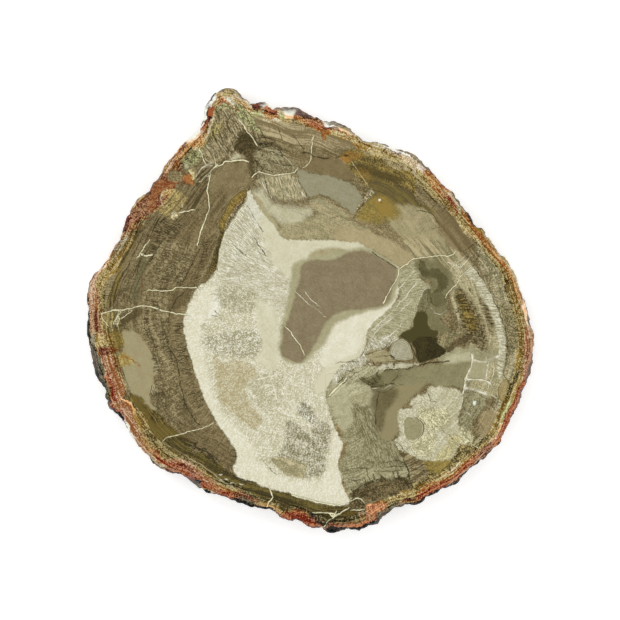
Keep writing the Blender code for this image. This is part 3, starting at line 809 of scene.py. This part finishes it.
# Where the bark stands proud or is knocked off: the photograph's pixel, how far it reaches and how
# much it stands out, in mm
bulges = {
    "spur side": ("208,105", 8, 0.8),
    "spur shoulder": ("245,95", 10, -1.2),
    "top ledge": ("345,127", 9, 0.9),
    "top right ledge": ("387,147", 13, 1.2),
    "right notch": ("478,224", 9, -2.2),
    "right bump": ("530,349", 14, 0.9),
    "lower right": ("499,440", 13, 1.5),
    "lower ledge": ("421,500", 10, 0.5),
    "spur tip": ("228,88", 9, 1.8),
    "left bump": ("88,316", 13, 1.3),
    "top bite": ("262,101", 8, -0.6),
    "right shoulder": ("512,264", 9, -0.8),
    "south east": ("456,479", 22, 1.1),
    "bottom lump": ("337,531", 8, 2.2),
    "fan foot": ("372,524", 8, 0.9),
    "fan side": ("390,511", 8, 0.8),
    "lower left swell": ("225,496", 12, 0.6),
    "bottom hollow": ("258,508", 9, 0.2),
    "left foot": ("142,448", 10, 0.6),
    "lower left knob": ("193,478", 9, 1.7),
    "left heel": ("157,464", 11, 1.5),
    "left chip": ("120,420", 10, -1.7),
    "left lump": ("110,404", 9, 1.5),
    "left ridge": ("92,349", 17, 1.4),
    "left shoulder": ("102,273", 10, -0.9),
    "upper left hollow": ("125,224", 12, -1.2),
    "upper left notch": ("154,178", 12, -1.7),
}


def barkRelief(point):
    # how far the fine relief moves a point of the wall out of the stone
    around, up = stone["barkSize"]
    stretched = Vector((point.x / around, point.y / around, point.z / up))
    ridge = abs(noise.noise(stretched)) ** stone["ridge"]
    return stone["bark"] * (ridge - stone["proud"]) + stone["grit"] * noise.noise(point / stone["gritSize"])


def ringOf(edges):
    # the corners of a closed ring of edges, in order
    members = set(edges)
    edge, vert, corners = edges[0], edges[0].verts[0], []
    while len(corners) < len(edges):
        corners.append(vert.co.xy[:])
        vert = edge.other_vert(vert)
        edge = next(other for other in vert.link_edges if other in members and other is not edge)
    return np.array(corners)


def fillCap(shell, ring, level, spacing, facing, slot):
    # closes a flat end: a square grid inside the ring, joined to it by triangles
    outline = ringOf(ring)
    reach = max(highest.x - lowest.x, highest.y - lowest.y) / 2 + spacing
    count = int(2 * reach / spacing)
    made = bmesh.ops.create_grid(
        shell, x_segments=count, y_segments=count, size=reach, matrix=Matrix.Translation((0, 0, level))
    )["verts"]
    inside = insideOf(np.array([vert.co.xy for vert in made]), outline)
    corners = kdtree.KDTree(len(outline))
    for i, (x, y) in enumerate(outline):
        corners.insert((x, y, level), i)
    corners.balance()
    dropped = [
        vert for vert, within in zip(made, inside)
        if not within or corners.find(vert.co)[2] < stone["clear"] * spacing
    ]
    grid = set(made) - set(dropped)
    bmesh.ops.delete(shell, geom=dropped, context="VERTS")
    loose = [vert for vert in grid if not vert.link_faces]
    bmesh.ops.delete(shell, geom=loose, context="VERTS")
    faces = {face for vert in grid - set(loose) for face in vert.link_faces}
    border = {edge for face in faces for edge in face.edges if edge.is_boundary}
    filled = bmesh.ops.triangle_fill(
        shell, use_beauty=True, use_dissolve=False, edges=list(border) + ring, normal=(0, 0, facing)
    )["geom"]
    faces |= {item for item in filled if isinstance(item, bmesh.types.BMFace)}
    for face in faces:
        face.material_index = slot


def sliceShell(node):
    # the closed shell, with the polished face, wall and back in material slots 0, 1 and 2
    shell = bmesh.new()
    shell.from_mesh(node.data)
    bmesh.ops.remove_doubles(shell, verts=shell.verts, dist=stone["merge"])
    caps = [
        face for face in shell.faces
        if all(vert.co.z < lowest.z + stone["flat"] for vert in face.verts)
        or all(vert.co.z > highest.z - stone["flat"] for vert in face.verts)
    ]
    bmesh.ops.delete(shell, geom=caps, context="FACES_ONLY")
    inner = [edge for edge in shell.edges if not edge.link_faces]
    bmesh.ops.delete(shell, geom=inner, context="EDGES")
    bmesh.ops.subdivide_edges(shell, edges=shell.edges[:], cuts=stone["wallCuts"], use_grid_fill=True)
    wall = [vert for vert in shell.verts if not vert.is_boundary]
    bmesh.ops.smooth_vert(
        shell, verts=wall, factor=stone["soften"], use_axis_x=True, use_axis_y=True, use_axis_z=True
    )
    shell.normal_update()
    thickness = highest.z - lowest.z
    places = onSlice(" ".join(place for place, _, _ in bulges.values())) * mm
    for vert in shell.verts:
        out = Vector((vert.normal.x, vert.normal.y, 0)).normalized()
        level = (vert.co.z - lowest.z) / thickness
        nearFace = max(0.0, 1 - min(level, 1 - level) / stone["edgeBand"])
        moved = stone["swell"] + barkRelief(vert.co) * (1 - stone["edgeCalm"] * nearFace)
        for place, (_, reach, push) in zip(places, bulges.values()):
            moved += push * mm * max(0.0, 1 - math.dist(place, vert.co.xy) / (reach * mm))
        chip = max(0.0, noise.noise(vert.co / stone["chipSize"]) - stone["chipFrom"])
        vert.co += out * (moved - chip * stone["chip"] * nearFace)
        vert.co.x = min(max(vert.co.x, lowest.x), highest.x)
        vert.co.y = min(max(vert.co.y, lowest.y), highest.y)
    for face in shell.faces:
        face.material_index = 1
    rims = {True: [], False: []}
    for edge in shell.edges:
        if edge.is_boundary:
            rims[edge.verts[0].co.z > lowest.z + thickness / 2].append(edge)
    outline = ringOf(rims[True]) / mm
    fillCap(shell, rims[True], highest.z, stone["faceGrid"], 1, 0)
    fillCap(shell, rims[False], lowest.z, stone["backGrid"], -1, 2)
    bmesh.ops.triangulate(shell, faces=shell.faces[:])
    bmesh.ops.recalc_face_normals(shell, faces=shell.faces[:])
    uneven = sum(not edge.is_manifold for edge in shell.edges)
    print("slice shell:", len(shell.faces), "triangles,", uneven, "open edges")
    return shell, outline


def rimCoordinates(points, outline):
    # for bands and rays: the angle as a point on a circle, and the depth inside the rim, all in mm
    around = outline - centre
    angles = np.arctan2(around[:, 1], around[:, 0])
    order = np.argsort(angles)
    steps = np.linspace(-math.pi, math.pi, paint["turns"], endpoint=False)
    radii = np.interp(steps, angles[order], np.hypot(*around.T)[order], period=2 * math.pi)
    kernel = np.hanning(paint["evened"])
    either = paint["evened"] // 2
    radii = np.concatenate((radii[-either:], radii, radii[:either]))
    radii = np.convolve(radii, kernel / kernel.sum(), "valid")
    away = points - centre
    turn = np.arctan2(away[:, 1], away[:, 0])
    share = np.hypot(*away.T) / np.interp(turn, steps, radii, period=2 * math.pi)
    middle = radii.mean()
    ray = middle * paint["raySpread"]
    return np.column_stack((np.cos(turn) * ray, np.sin(turn) * ray, (1 - share) * middle))


def silhouetteOf(points):
    # the closed outline of the points seen from above, which widens outwards from the centre
    away = points - centre
    slots = paint["slots"]
    slot = np.floor(np.arctan2(away[:, 1], away[:, 0]) / (2 * math.pi) * slots).astype(int) % slots
    far = np.zeros(slots)
    np.maximum.at(far, slot, np.hypot(*away.T))
    turn = (np.arange(slots + 1) + 0.5) / slots * 2 * math.pi
    far = np.append(far, far[0])
    return centre + np.column_stack((np.cos(turn) * far, np.sin(turn) * far))


def bandRow(bands):
    # each band's tint and how deep it ends, in mm. The last band is repeated where there are fewer.
    inner, row = 0.0, []
    for band in bands.split(", "):
        name, width = band.split()
        inner += float(width) * perPixel / mm
        row.append((*tint(name)[:3], inner))
    return np.ravel(row + row[-1:] * (paint["rimBands"] - len(row)))


def paintRim(points):
    # how deep inside the silhouette each point lies, and the bark's bands there
    silhouette = silhouetteOf(points)
    length = np.hypot(*np.diff(silhouette, axis=0).T).sum()
    shrunk = centre + (silhouette - centre) * (1 - paint["rimReach"] / paint["halfWidth"])
    near = np.flatnonzero(~insideOf(points, shrunk[:-1]))
    depth, along = np.full(len(points), paint["inside"]), np.zeros(len(points))
    depth[near], _, along[near] = nearestOn(points[near], silhouette)
    _, _, marks = nearestOn(onSlice(" ".join(barkBands)), silhouette)
    order = np.argsort(marks, kind="stable")
    values = np.array([bandRow(bands) for bands in barkBands.values()])[np.append(order, order[0])]
    marks = np.append(marks[order], marks[order[0]] + length)
    along = np.where(along < marks[0], along + length, along)
    place = np.interp(along, marks, np.arange(len(marks)))
    span = np.minimum(place.astype(int), len(marks) - 2)
    share = smoothStep(0.5 + paint["bandBlend"] * (place - span - 0.5))[:, None]
    found = values[span] * (1 - share) + values[span + 1] * share
    return depth, found.reshape(len(points), paint["rimBands"], 4)


def store(mesh, name, values, kind):
    layer = mesh.attributes.new(name, kind, "POINT")
    field = {"FLOAT": "value", "FLOAT_VECTOR": "vector", "FLOAT_COLOR": "color"}[kind]
    layer.data.foreach_set(field, np.ascontiguousarray(values, np.float32).ravel())


def paintSlice(mesh, outline):
    # stores the paint of all layers, lines and bands of bark in the mesh's attributes
    coords = np.empty(len(mesh.vertices) * 3, np.float32)
    mesh.vertices.foreach_get("co", coords)
    coords = coords.reshape(-1, 3).astype(float) / mm
    thick = (highest.z - lowest.z) / mm
    wander = np.zeros((len(coords), 2))
    for size, lump in (paint["wander"], paint["flutter"]):
        wander += [noise.noise_vector(Vector(place) / lump).xy * size for place in coords]
    lump, apart = paint["driftSize"], Vector(paint["driftPlace"])
    drift = np.array([noise.noise_vector(Vector(place) / lump + apart).xy for place in coords])
    share = np.clip(1 - coords[:, 2:] / thick, 0, 1)
    drift *= share * np.where(share > 0.999, paint["backDrift"], paint["drift"])
    ones = np.ones((len(coords), 1))
    for name, layer in layers.items():
        stoneHere, deep = paintLayer(coords[:, :2] + drift + wander * layer["loose"], layer)
        store(mesh, name + "Dark", np.hstack((stoneHere[:, 0:3], ones)), "FLOAT_COLOR")
        store(mesh, name + "Light", np.hstack((stoneHere[:, 3:6], ones)), "FLOAT_COLOR")
        store(mesh, name + "Grain", stoneHere[:, 6:10], "FLOAT_COLOR")
        store(mesh, name + "Deep", deep, "FLOAT")
    for name in lines:
        store(mesh, name, paintLines(coords[:, :2] + drift + wander, name), "FLOAT_VECTOR")
    depth, bands = paintRim(coords[:, :2])
    store(mesh, "rimDepth", depth, "FLOAT")
    for band in range(paint["rimBands"]):
        store(mesh, "rimBand%d" % band, bands[:, band], "FLOAT_COLOR")
    store(mesh, "grain", rimCoordinates(coords[:, :2], outline), "FLOAT_VECTOR")
    print("painted:", ", ".join(layers), "and", ", ".join(lines))


# The stone's textures. Sizes are in mm, and a pull is how strongly a texture moves the colour from
# the dark to the light tint where its kind shows it fully.
look = {
    "patterns": {                # what it follows, its size in three directions, detail, roughness
        "rag": ("stone", 1.8, 1.8, 1.8, 4, 0.6),
        "specks": ("stone", 0.7, 0.7, 0.7, 3, 0.7),
        "mottle": ("stone", 6.0, 6.0, 6.0, 6, 0.66),
        "wisps": ("stone", 3.4, 3.4, 3.4, 3, 0.6),
        "fading": ("stone", 4.0, 4.0, 4.0, 2, 0.5),
        "bands": ("rim", 18.0, 18.0, 0.65, 2, 0.5),
        "broadBands": ("rim", 30.0, 30.0, 2.4, 1, 0.5),
        "seams": ("rim", 24.0, 24.0, 1.3, 1, 0.5),
        "rays": ("rim", 0.5, 0.5, 4.0, 2, 0.5),
        "ticks": ("rim", 1.3, 1.3, 6.0, 1, 0.5),
        "dashes": ("rim", 0.9, 0.9, 2.0, 1, 0.5),
    },
    "mottlePull": 0.84,
    "pulls": (("bands", 0, 2.6), ("broadBands", 0, 1.9), ("rays", 1, 2.8), ("specks", 2, 2.8)),
    "threads": (("seams", 0, 0.5), ("ticks", 1, 0.45), ("wisps", 2, 0.4)),  # thin dark lines
    "threadWidth": (0.006, 0.024),
    "sway": (8.0, 2.2),          # bands and rays waver in lumps of this size, by this much
    "agate": (0.9, 1.2, 3.0, 0.35),  # contours in crisp patches: spacing, raggedness, reach and pull
    "vessels": (-0.06, -0.13),   # filled vessels show where their noise falls from this to this
    "vesselPull": 0.85,
    "outline": (0.5, 0.55),      # the dark edge of crisp markings: width and pull
    "lineRag": (1.2, 0.5),
    "lineEdge": (1.4, 0.4),      # a line fades out between these half widths
    "lineReach": (1.3, 0.45),    # and ends at this many half widths and mm from its path
    "lineFading": (-0.1, 0.04),
    "fringe": (3.4, 0.5),        # the dark edges of the pale veins: how wide they are and how strong
    "rimRag": (3.0, 1.6),
    "rimEdge": 0.16,
    "rimShade": (-0.5, 1.3, 0.75),  # painted shade and dark crust at the bark's outermost edge: where it lies and its pull
    "rimGrain": (0.9, 0.35, 1.5, 1),
    "rimGammas": {"Dark": 2.2, "Light": 0.6},  # they turn a band's one tint into its dark and its light
    "ior": 1.54,                 # chalcedony and quartz
}
parts = ("Dark", "Light", "Grain")


def addPatterns(tree, table, spaces):
    # how far each pattern of the table swings from its middle
    swings = {}
    for name, (follows, *sizes, detail, roughness) in table.items():
        where = {0: spaces[follows], 1: [1 / size for size in sizes]}
        where = addNode(tree, "VectorMath", where, operation="MULTIPLY")
        made = {"Vector": where, "Scale": 1, "Detail": detail, "Roughness": roughness}
        made = addNode(tree, "TexNoise", made)
        swings[name] = addNode(tree, "Math", {0: made, 1: 0.5}, operation="SUBTRACT")
    return swings


def layOver(tree, mask, under, over):
    # the tints, grain and vessels of one stone laid over those of another
    shown = {}
    for part in parts:
        shown[part] = addNode(tree, "Mix", {0: mask, 6: under[part], 7: over[part]}, data_type="RGBA")
    shown["Vessels"] = addNode(tree, "Mix", {0: mask, 2: under["Vessels"], 3: over["Vessels"]})
    return shown


def paintedStone(tree, layer):
    # what the layer's attributes hold
    shown = {part: addNode(tree, "Attribute", attribute_name=layer + part) for part in parts}
    shown["Vessels"] = shown["Grain"].node.outputs["Alpha"]
    return shown


def barkOver(tree, under, level, swings):
    # the bands of bark, laid by their depth inside the silhouette, with painted shade and dark crust at the
    # outermost edge
    torn = addNode(tree, "Attribute", attribute_name="rimDepth").node.outputs["Fac"]
    for name, pull in zip(("rag", "specks"), look["rimRag"]):
        torn = addNode(tree, "Math", {0: swings[name], 1: pull, 2: torn}, operation="MULTIPLY_ADD")
    edge, rimTint = look["rimEdge"], None
    for band in reversed(range(paint["rimBands"])):
        found = addNode(tree, "Attribute", attribute_name="rimBand%d" % band)
        within = addNode(tree, "Math", {0: found.node.outputs["Alpha"], 1: torn}, operation="SUBTRACT")
        within = {"Value": within, "From Min": -edge, "From Max": edge}
        within = addNode(tree, "MapRange", within, interpolation_type="SMOOTHSTEP")
        if rimTint is None:
            rimTint, mask = found, within
        else:
            rimTint = addNode(tree, "Mix", {0: within, 6: rimTint, 7: found}, data_type="RGBA")
    bark = {"Grain": look["rimGrain"], "Vessels": 0}
    for part, gamma in look["rimGammas"].items():
        bark[part] = addNode(tree, "Gamma", {"Color": rimTint, "Gamma": gamma})
    # painted shade, partly the bark's dark crust, darkens the outermost edge along the silhouette
    outside, inside, pull = look["rimShade"]
    shade = {"Value": torn, "From Min": outside, "From Max": inside, "To Min": -pull, "To Max": 0}
    shade = addNode(tree, "MapRange", shade)
    level = addNode(tree, "Math", {0: level, 1: shade}, operation="ADD")
    return layOver(tree, mask, under, bark), level


def agateOver(tree, level, deep, rag):
    # contours that follow the edge of a patch of chalcedony
    spacing, ragged, reach, pull = look["agate"]
    ring = addNode(tree, "Math", {0: rag, 1: ragged, 2: deep}, operation="MULTIPLY_ADD")
    ring = addNode(tree, "Math", {0: ring, 1: 2 * math.pi / spacing}, operation="MULTIPLY")
    ring = addNode(tree, "Math", {0: ring}, operation="SINE")
    away = addNode(tree, "Math", {0: deep}, operation="ABSOLUTE")
    away = addNode(tree, "MapRange", {"Value": away, "From Max": reach, "To Min": pull, "To Max": 0})
    return addNode(tree, "Math", {0: ring, 1: away, 2: level}, operation="MULTIPLY_ADD")


def grainOver(tree, level, shown, swings):
    # growth bands, rays, specks, thin dark threads and filled vessels, as strong as the grain says
    shares = addNode(tree, "SeparateXYZ", {"Vector": shown["Grain"]}).node.outputs
    for name, part, pull in look["pulls"]:
        swing = addNode(tree, "Math", {0: swings[name], 1: pull}, operation="MULTIPLY")
        level = addNode(tree, "Math", {0: swing, 1: shares[part], 2: level}, operation="MULTIPLY_ADD")
    full, gone = look["threadWidth"]
    for name, part, pull in look["threads"]:
        thread = addNode(tree, "Math", {0: swings[name]}, operation="ABSOLUTE")
        thread = {"Value": thread, "From Min": full, "From Max": gone, "To Min": -pull, "To Max": 0}
        thread = addNode(tree, "MapRange", thread)
        level = addNode(tree, "Math", {0: thread, 1: shares[part], 2: level}, operation="MULTIPLY_ADD")
    start, full = look["vessels"]
    dashes = {"Value": swings["dashes"], "From Min": start, "From Max": full, "To Max": -look["vesselPull"]}
    dashes = addNode(tree, "MapRange", dashes, interpolation_type="SMOOTHSTEP")
    return addNode(tree, "Math", {0: dashes, 1: shown["Vessels"], 2: level}, operation="MULTIPLY_ADD")


def linesOver(tree, colour, swings):
    # the thin lines, drawn on the stone's colour
    for name, group in lines.items():
        line = addNode(tree, "Attribute", attribute_name=name)
        aside, gap, half = addNode(tree, "SeparateXYZ", {"Vector": line}).node.outputs
        ragged, gritty = look["lineRag"]
        aside = addNode(tree, "Math", {0: swings["rag"], 1: ragged, 2: aside}, operation="MULTIPLY_ADD")
        aside = addNode(tree, "Math", {0: aside}, operation="ABSOLUTE")
        aside = addNode(tree, "Math", {0: swings["specks"], 1: gritty, 2: aside}, operation="MULTIPLY_ADD")
        aside = addNode(tree, "Math", {0: aside, 1: half}, operation="DIVIDE")
        if "fringe" in group:
            width, pull = look["fringe"]
            fringe = {"Value": aside, "From Min": width, "From Max": 1, "To Max": pull}
            fringe = addNode(tree, "MapRange", fringe, interpolation_type="SMOOTHSTEP")
            fringe = {0: fringe, 6: colour, 7: tint(group["fringe"])}
            colour = addNode(tree, "Mix", fringe, data_type="RGBA")
        gone, full = look["lineEdge"]
        drawn = {"Value": aside, "From Min": gone, "From Max": full}
        drawn = addNode(tree, "MapRange", drawn, interpolation_type="SMOOTHSTEP")
        widths, more = look["lineReach"]
        reach = addNode(tree, "Math", {0: half, 1: widths, 2: more}, operation="MULTIPLY_ADD")
        close = addNode(tree, "Math", {0: gap, 1: reach}, operation="LESS_THAN")
        low, high = look["lineFading"]
        faint, full = group["strength"]
        fading = {"Value": swings["fading"], "From Min": low, "From Max": high}
        fading = addNode(tree, "MapRange", {**fading, "To Min": faint, "To Max": full})
        for share in (close, fading):
            drawn = addNode(tree, "Math", {0: drawn, 1: share}, operation="MULTIPLY")
        colour = addNode(tree, "Mix", {0: drawn, 6: colour, 7: tint(group["tint"])}, data_type="RGBA")
    return colour


def stoneColour(tree):
    # the stone's colour from its painted layers, bark, textures and lines, its place in mm and its specks
    place = addNode(tree, "TexCoord").node.outputs["Object"]
    place = addNode(tree, "VectorMath", {0: place, "Scale": 1 / mm}, operation="SCALE")
    lump, by = look["sway"]
    sway = addNode(tree, "TexNoise", {"Vector": place, "Scale": 1 / lump, "Detail": 2}).node.outputs["Color"]
    sway = addNode(tree, "VectorMath", {0: sway, 1: (0.5, 0.5, 0.5)}, operation="SUBTRACT")
    grain = addNode(tree, "Attribute", attribute_name="grain").node.outputs["Vector"]
    grain = addNode(tree, "VectorMath", {0: sway, 1: (by, by, by), 2: grain}, operation="MULTIPLY_ADD")
    swings = addPatterns(tree, look["patterns"], {"stone": place, "rim": grain})
    level = {0: swings["mottle"], 1: look["mottlePull"], 2: 0.5}
    level = addNode(tree, "Math", level, operation="MULTIPLY_ADD")
    shown = paintedStone(tree, "wood")
    for name in ("pale", "soft", "patch", "rim"):
        layer = layers[name]
        if name == "rim":
            shown, level = barkOver(tree, shown, level, swings)
        deep = addNode(tree, "Attribute", attribute_name=name + "Deep").node.outputs["Fac"]
        edge = addNode(tree, "Math", {0: swings["rag"], 1: layer["rag"], 2: deep}, operation="MULTIPLY_ADD")
        mask = {"Value": edge, "From Min": -layer["edge"], "From Max": layer["edge"]}
        mask = addNode(tree, "MapRange", mask, interpolation_type="SMOOTHSTEP")
        shown = layOver(tree, mask, shown, paintedStone(tree, name))
        width, pull = look["outline"]
        edge = {"Value": addNode(tree, "Math", {0: edge}, operation="ABSOLUTE"), "From Max": width}
        edge = addNode(tree, "MapRange", {**edge, "To Min": -pull * layer["outline"], "To Max": 0})
        level = addNode(tree, "Math", {0: level, 1: edge}, operation="ADD")
        if name == "patch":
            level = agateOver(tree, level, deep, swings["rag"])
    level = grainOver(tree, level, shown, swings)
    level = addNode(tree, "MapRange", {"Value": level}, interpolation_type="SMOOTHSTEP")
    colour = addNode(tree, "Mix", {0: level, 6: shown["Dark"], 7: shown["Light"]}, data_type="RGBA")
    return linesOver(tree, colour, swings), place, swings["specks"]


def newStone(name):
    material = bpy.data.materials.new(name)
    material.use_nodes = True
    tree = material.node_tree
    return material, tree, *stoneColour(tree)


def finishStone(tree, colour, roughness, height, bump):
    strength, depth = bump
    bump = addNode(tree, "Bump", {"Strength": strength, "Distance": depth, "Height": height})
    shader = {"Base Color": colour, "Roughness": roughness, "Normal": bump, "IOR": look["ior"]}
    feed(tree.nodes["Principled BSDF"], shader)


polish = {
    "roughness": (0.10, 0.17),   # the hard chalcedony takes the polish best
    "specks": (0.1, -0.2),       # where in the specks it is hard and soft
    "bump": (0.5, 0.02 * mm),
}


def polishedStone():
    # silicified wood, lapped and polished to a gloss
    material, tree, colour, place, specks = newStone("polishedPetrifiedWood")
    (hard, soft), (low, high) = polish["specks"], polish["roughness"]
    gloss = {"Value": specks, "From Min": hard, "From Max": soft, "To Min": low, "To Max": high}
    finishStone(tree, colour, addNode(tree, "MapRange", gloss), specks, polish["bump"])
    return material


# The rind's crusts. Sizes are in mm.
rind = {
    "roughness": 0.86,
    "tints": ("2A2018", "8A7A64"),  # in the cracks and pits, and on weathered ridges
    "patterns": {
        "fibres": ("stone", 1.1, 1.1, 8.0, 3, 0.6),  # the wood's fibres run down the wall
        "lumps": ("stone", 4.5, 4.5, 4.5, 4, 0.65),
        "iron": ("stone", 10.0, 10.0, 10.0, 4, 0.6),
        "lime": ("stone", 7.0, 7.0, 7.0, 4, 0.6),
    },
    "ridges": (-0.2, 0.25),      # where in the fibres and lumps they start, and are full
    "stains": {"iron": ("74401F", 0.0), "lime": ("C6B998", 0.08)},  # tint, and where it starts
    "stainEdge": 0.12,
    "stainShare": 0.75,
    "below": (0.8, 6.0),         # how far below the face the crust starts, and where it is full
    "ragged": 4.0,               # how raggedly it starts
    "share": 0.8,
    "bump": (0.8, 0.5 * mm),
}


def weatheredRind():
    # the old bark turned to stone, left rough as it weathered out of the ground
    material, tree, colour, place, specks = newStone("weatheredRind")
    swings = addPatterns(tree, rind["patterns"], {"stone": place})
    height = addNode(tree, "Math", {0: swings["fibres"], 1: swings["lumps"]}, operation="ADD")
    start, full = rind["ridges"]
    pale = {"Value": height, "From Min": start, "From Max": full}
    pale = addNode(tree, "MapRange", pale, interpolation_type="SMOOTHSTEP")
    deep, ridge = (linearColour(shade) for shade in rind["tints"])
    crust = addNode(tree, "Mix", {0: pale, 6: deep, 7: ridge}, data_type="RGBA")
    for name, (shade, start) in rind["stains"].items():
        stain = {"Value": swings[name], "From Min": start, "From Max": start + rind["stainEdge"]}
        stain["To Max"] = rind["stainShare"]
        stain = addNode(tree, "MapRange", stain, interpolation_type="SMOOTHSTEP")
        stain = addNode(tree, "Math", {0: stain, 1: pale}, operation="MULTIPLY")
        crust = addNode(tree, "Mix", {0: stain, 6: crust, 7: linearColour(shade)}, data_type="RGBA")
    up = addNode(tree, "SeparateXYZ", {"Vector": place}).node.outputs["Z"]
    up = addNode(tree, "Math", {0: specks, 1: -rind["ragged"], 2: up}, operation="MULTIPLY_ADD")
    start, full = (highest.z / mm - below for below in rind["below"])
    cover = {"Value": up, "From Min": start, "From Max": full, "To Max": rind["share"]}
    cover = addNode(tree, "MapRange", cover, interpolation_type="SMOOTHSTEP")
    colour = addNode(tree, "Mix", {0: cover, 6: colour, 7: crust}, data_type="RGBA")
    finishStone(tree, colour, rind["roughness"], height, rind["bump"])
    return material


# The sawn back. Sizes are in mm.
sawn = {
    "roughness": 0.62,
    "dustTint": "B8B09A",        # unpolished stone looks paler
    "dust": (0.16, 0.4),
    "patterns": {"marks": ("stone", 70.0, 0.9, 9.0, 2, 0.5)},  # marks of the diamond blade
    "marks": (-0.15, 0.15),      # the dust is thinnest and thickest there
    "bump": (0.7, 0.06 * mm),
}


def sawnStone():
    # silicified wood, sawn with a diamond blade and left matt
    material, tree, colour, place, specks = newStone("sawnPetrifiedWood")
    marks = addPatterns(tree, sawn["patterns"], {"stone": place})["marks"]
    (low, high), (thin, thick) = sawn["marks"], sawn["dust"]
    dusty = {"Value": marks, "From Min": low, "From Max": high, "To Min": thin, "To Max": thick}
    dusty = {0: addNode(tree, "MapRange", dusty), 6: colour, 7: linearColour(sawn["dustTint"])}
    colour = addNode(tree, "Mix", dusty, data_type="RGBA")
    finishStone(tree, colour, sawn["roughness"], marks, sawn["bump"])
    return material


shell, faceOutline = sliceShell(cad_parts["petrified_wood_slice"])
sliceMesh = bpy.data.meshes.new("stoneSlice")
shell.to_mesh(sliceMesh)
shell.free()
sliceMesh.shade_smooth()
sliceMesh.set_sharp_from_angle(angle=stone["sharp"])
paintSlice(sliceMesh, faceOutline)
for finished in (polishedStone(), weatheredRind(), sawnStone()):
    sliceMesh.materials.append(finished)
print("finished:", ", ".join(sliceMesh.materials.keys()))

stoneSlice = bpy.data.objects.new("stoneSlice", sliceMesh)
bpy.context.scene.collection.objects.link(stoneSlice)
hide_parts("petrified_wood_slice")
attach(stoneSlice, "root")

# A pale table, and soft studio light from all round that leaves the part straight overhead dark
studio = {
    "floorSize": 8.0,
    "floorTint": "FCFCFB",
    "floorRoughness": 0.9,
    "floorGlow": 0.3,            # the table is a little lit from below
    "horizon": 1.15,             # brightness of the sky's lower and upper parts
    "overhead": 0.08,
    "darkFrom": 0.90,            # sine of the elevation where it starts to darken
    "darkTo": 0.965,
    "key": 2.2,                  # watts
    "keySize": 0.9,
    "keyPlace": (-0.75, 0.85, 0.95),
}
world = bpy.data.worlds.new("studio")
world.use_nodes = True
bpy.context.scene.world = world
sky = world.node_tree
up = addNode(sky, "TexCoord").node.outputs["Generated"]
up = addNode(sky, "SeparateXYZ", {"Vector": up}).node.outputs["Z"]
brightness = {
    "Value": up, "From Min": studio["darkFrom"], "From Max": studio["darkTo"],
    "To Min": studio["horizon"], "To Max": studio["overhead"],
}
brightness = addNode(sky, "MapRange", brightness, interpolation_type="SMOOTHSTEP")
feed(sky.nodes["Background"], {"Strength": brightness, "Color": (1, 1, 1, 1)})

table = bmesh.new()
bmesh.ops.create_grid(table, x_segments=1, y_segments=1, size=studio["floorSize"] / 2)
tableMesh = bpy.data.meshes.new("table")
table.to_mesh(tableMesh)
table.free()
floor = bpy.data.objects.new("table", tableMesh)
bpy.context.scene.collection.objects.link(floor)
# A light table's matt white acrylic
acrylic = bpy.data.materials.new("acrylic")
acrylic.use_nodes = True
white = linearColour(studio["floorTint"])
feed(acrylic.node_tree.nodes["Principled BSDF"], {
    "Base Color": white, "Roughness": studio["floorRoughness"],
    "Emission Color": white, "Emission Strength": studio["floorGlow"],
})
tableMesh.materials.append(acrylic)

key = bpy.data.lights.new("key", "AREA")
key.energy = studio["key"]
key.size = studio["keySize"]
keyLight = bpy.data.objects.new("key", key)
keyLight.location = studio["keyPlace"]
keyLight.rotation_euler = (-Vector(studio["keyPlace"])).to_track_quat("-Z", "Y").to_euler()
bpy.context.scene.collection.objects.link(keyLight)

lens = {"focal": 85, "sensor": 36}
camera = bpy.data.cameras.new("camera")
camera.lens = lens["focal"]
camera.sensor_width = lens["sensor"]
overhead = bpy.data.objects.new("camera", camera)
bpy.context.scene.collection.objects.link(overhead)
aim = onSlice([(photo["size"] / 2, photo["size"] / 2)])[0] * mm
height = photo["size"] * perPixel * lens["focal"] / lens["sensor"]
overhead.location = (aim[0], aim[1], highest.z + height)
bpy.context.scene.camera = overhead
bpy.context.scene.view_settings.view_transform = "Standard"
print("studio: table, sky, key light and camera")
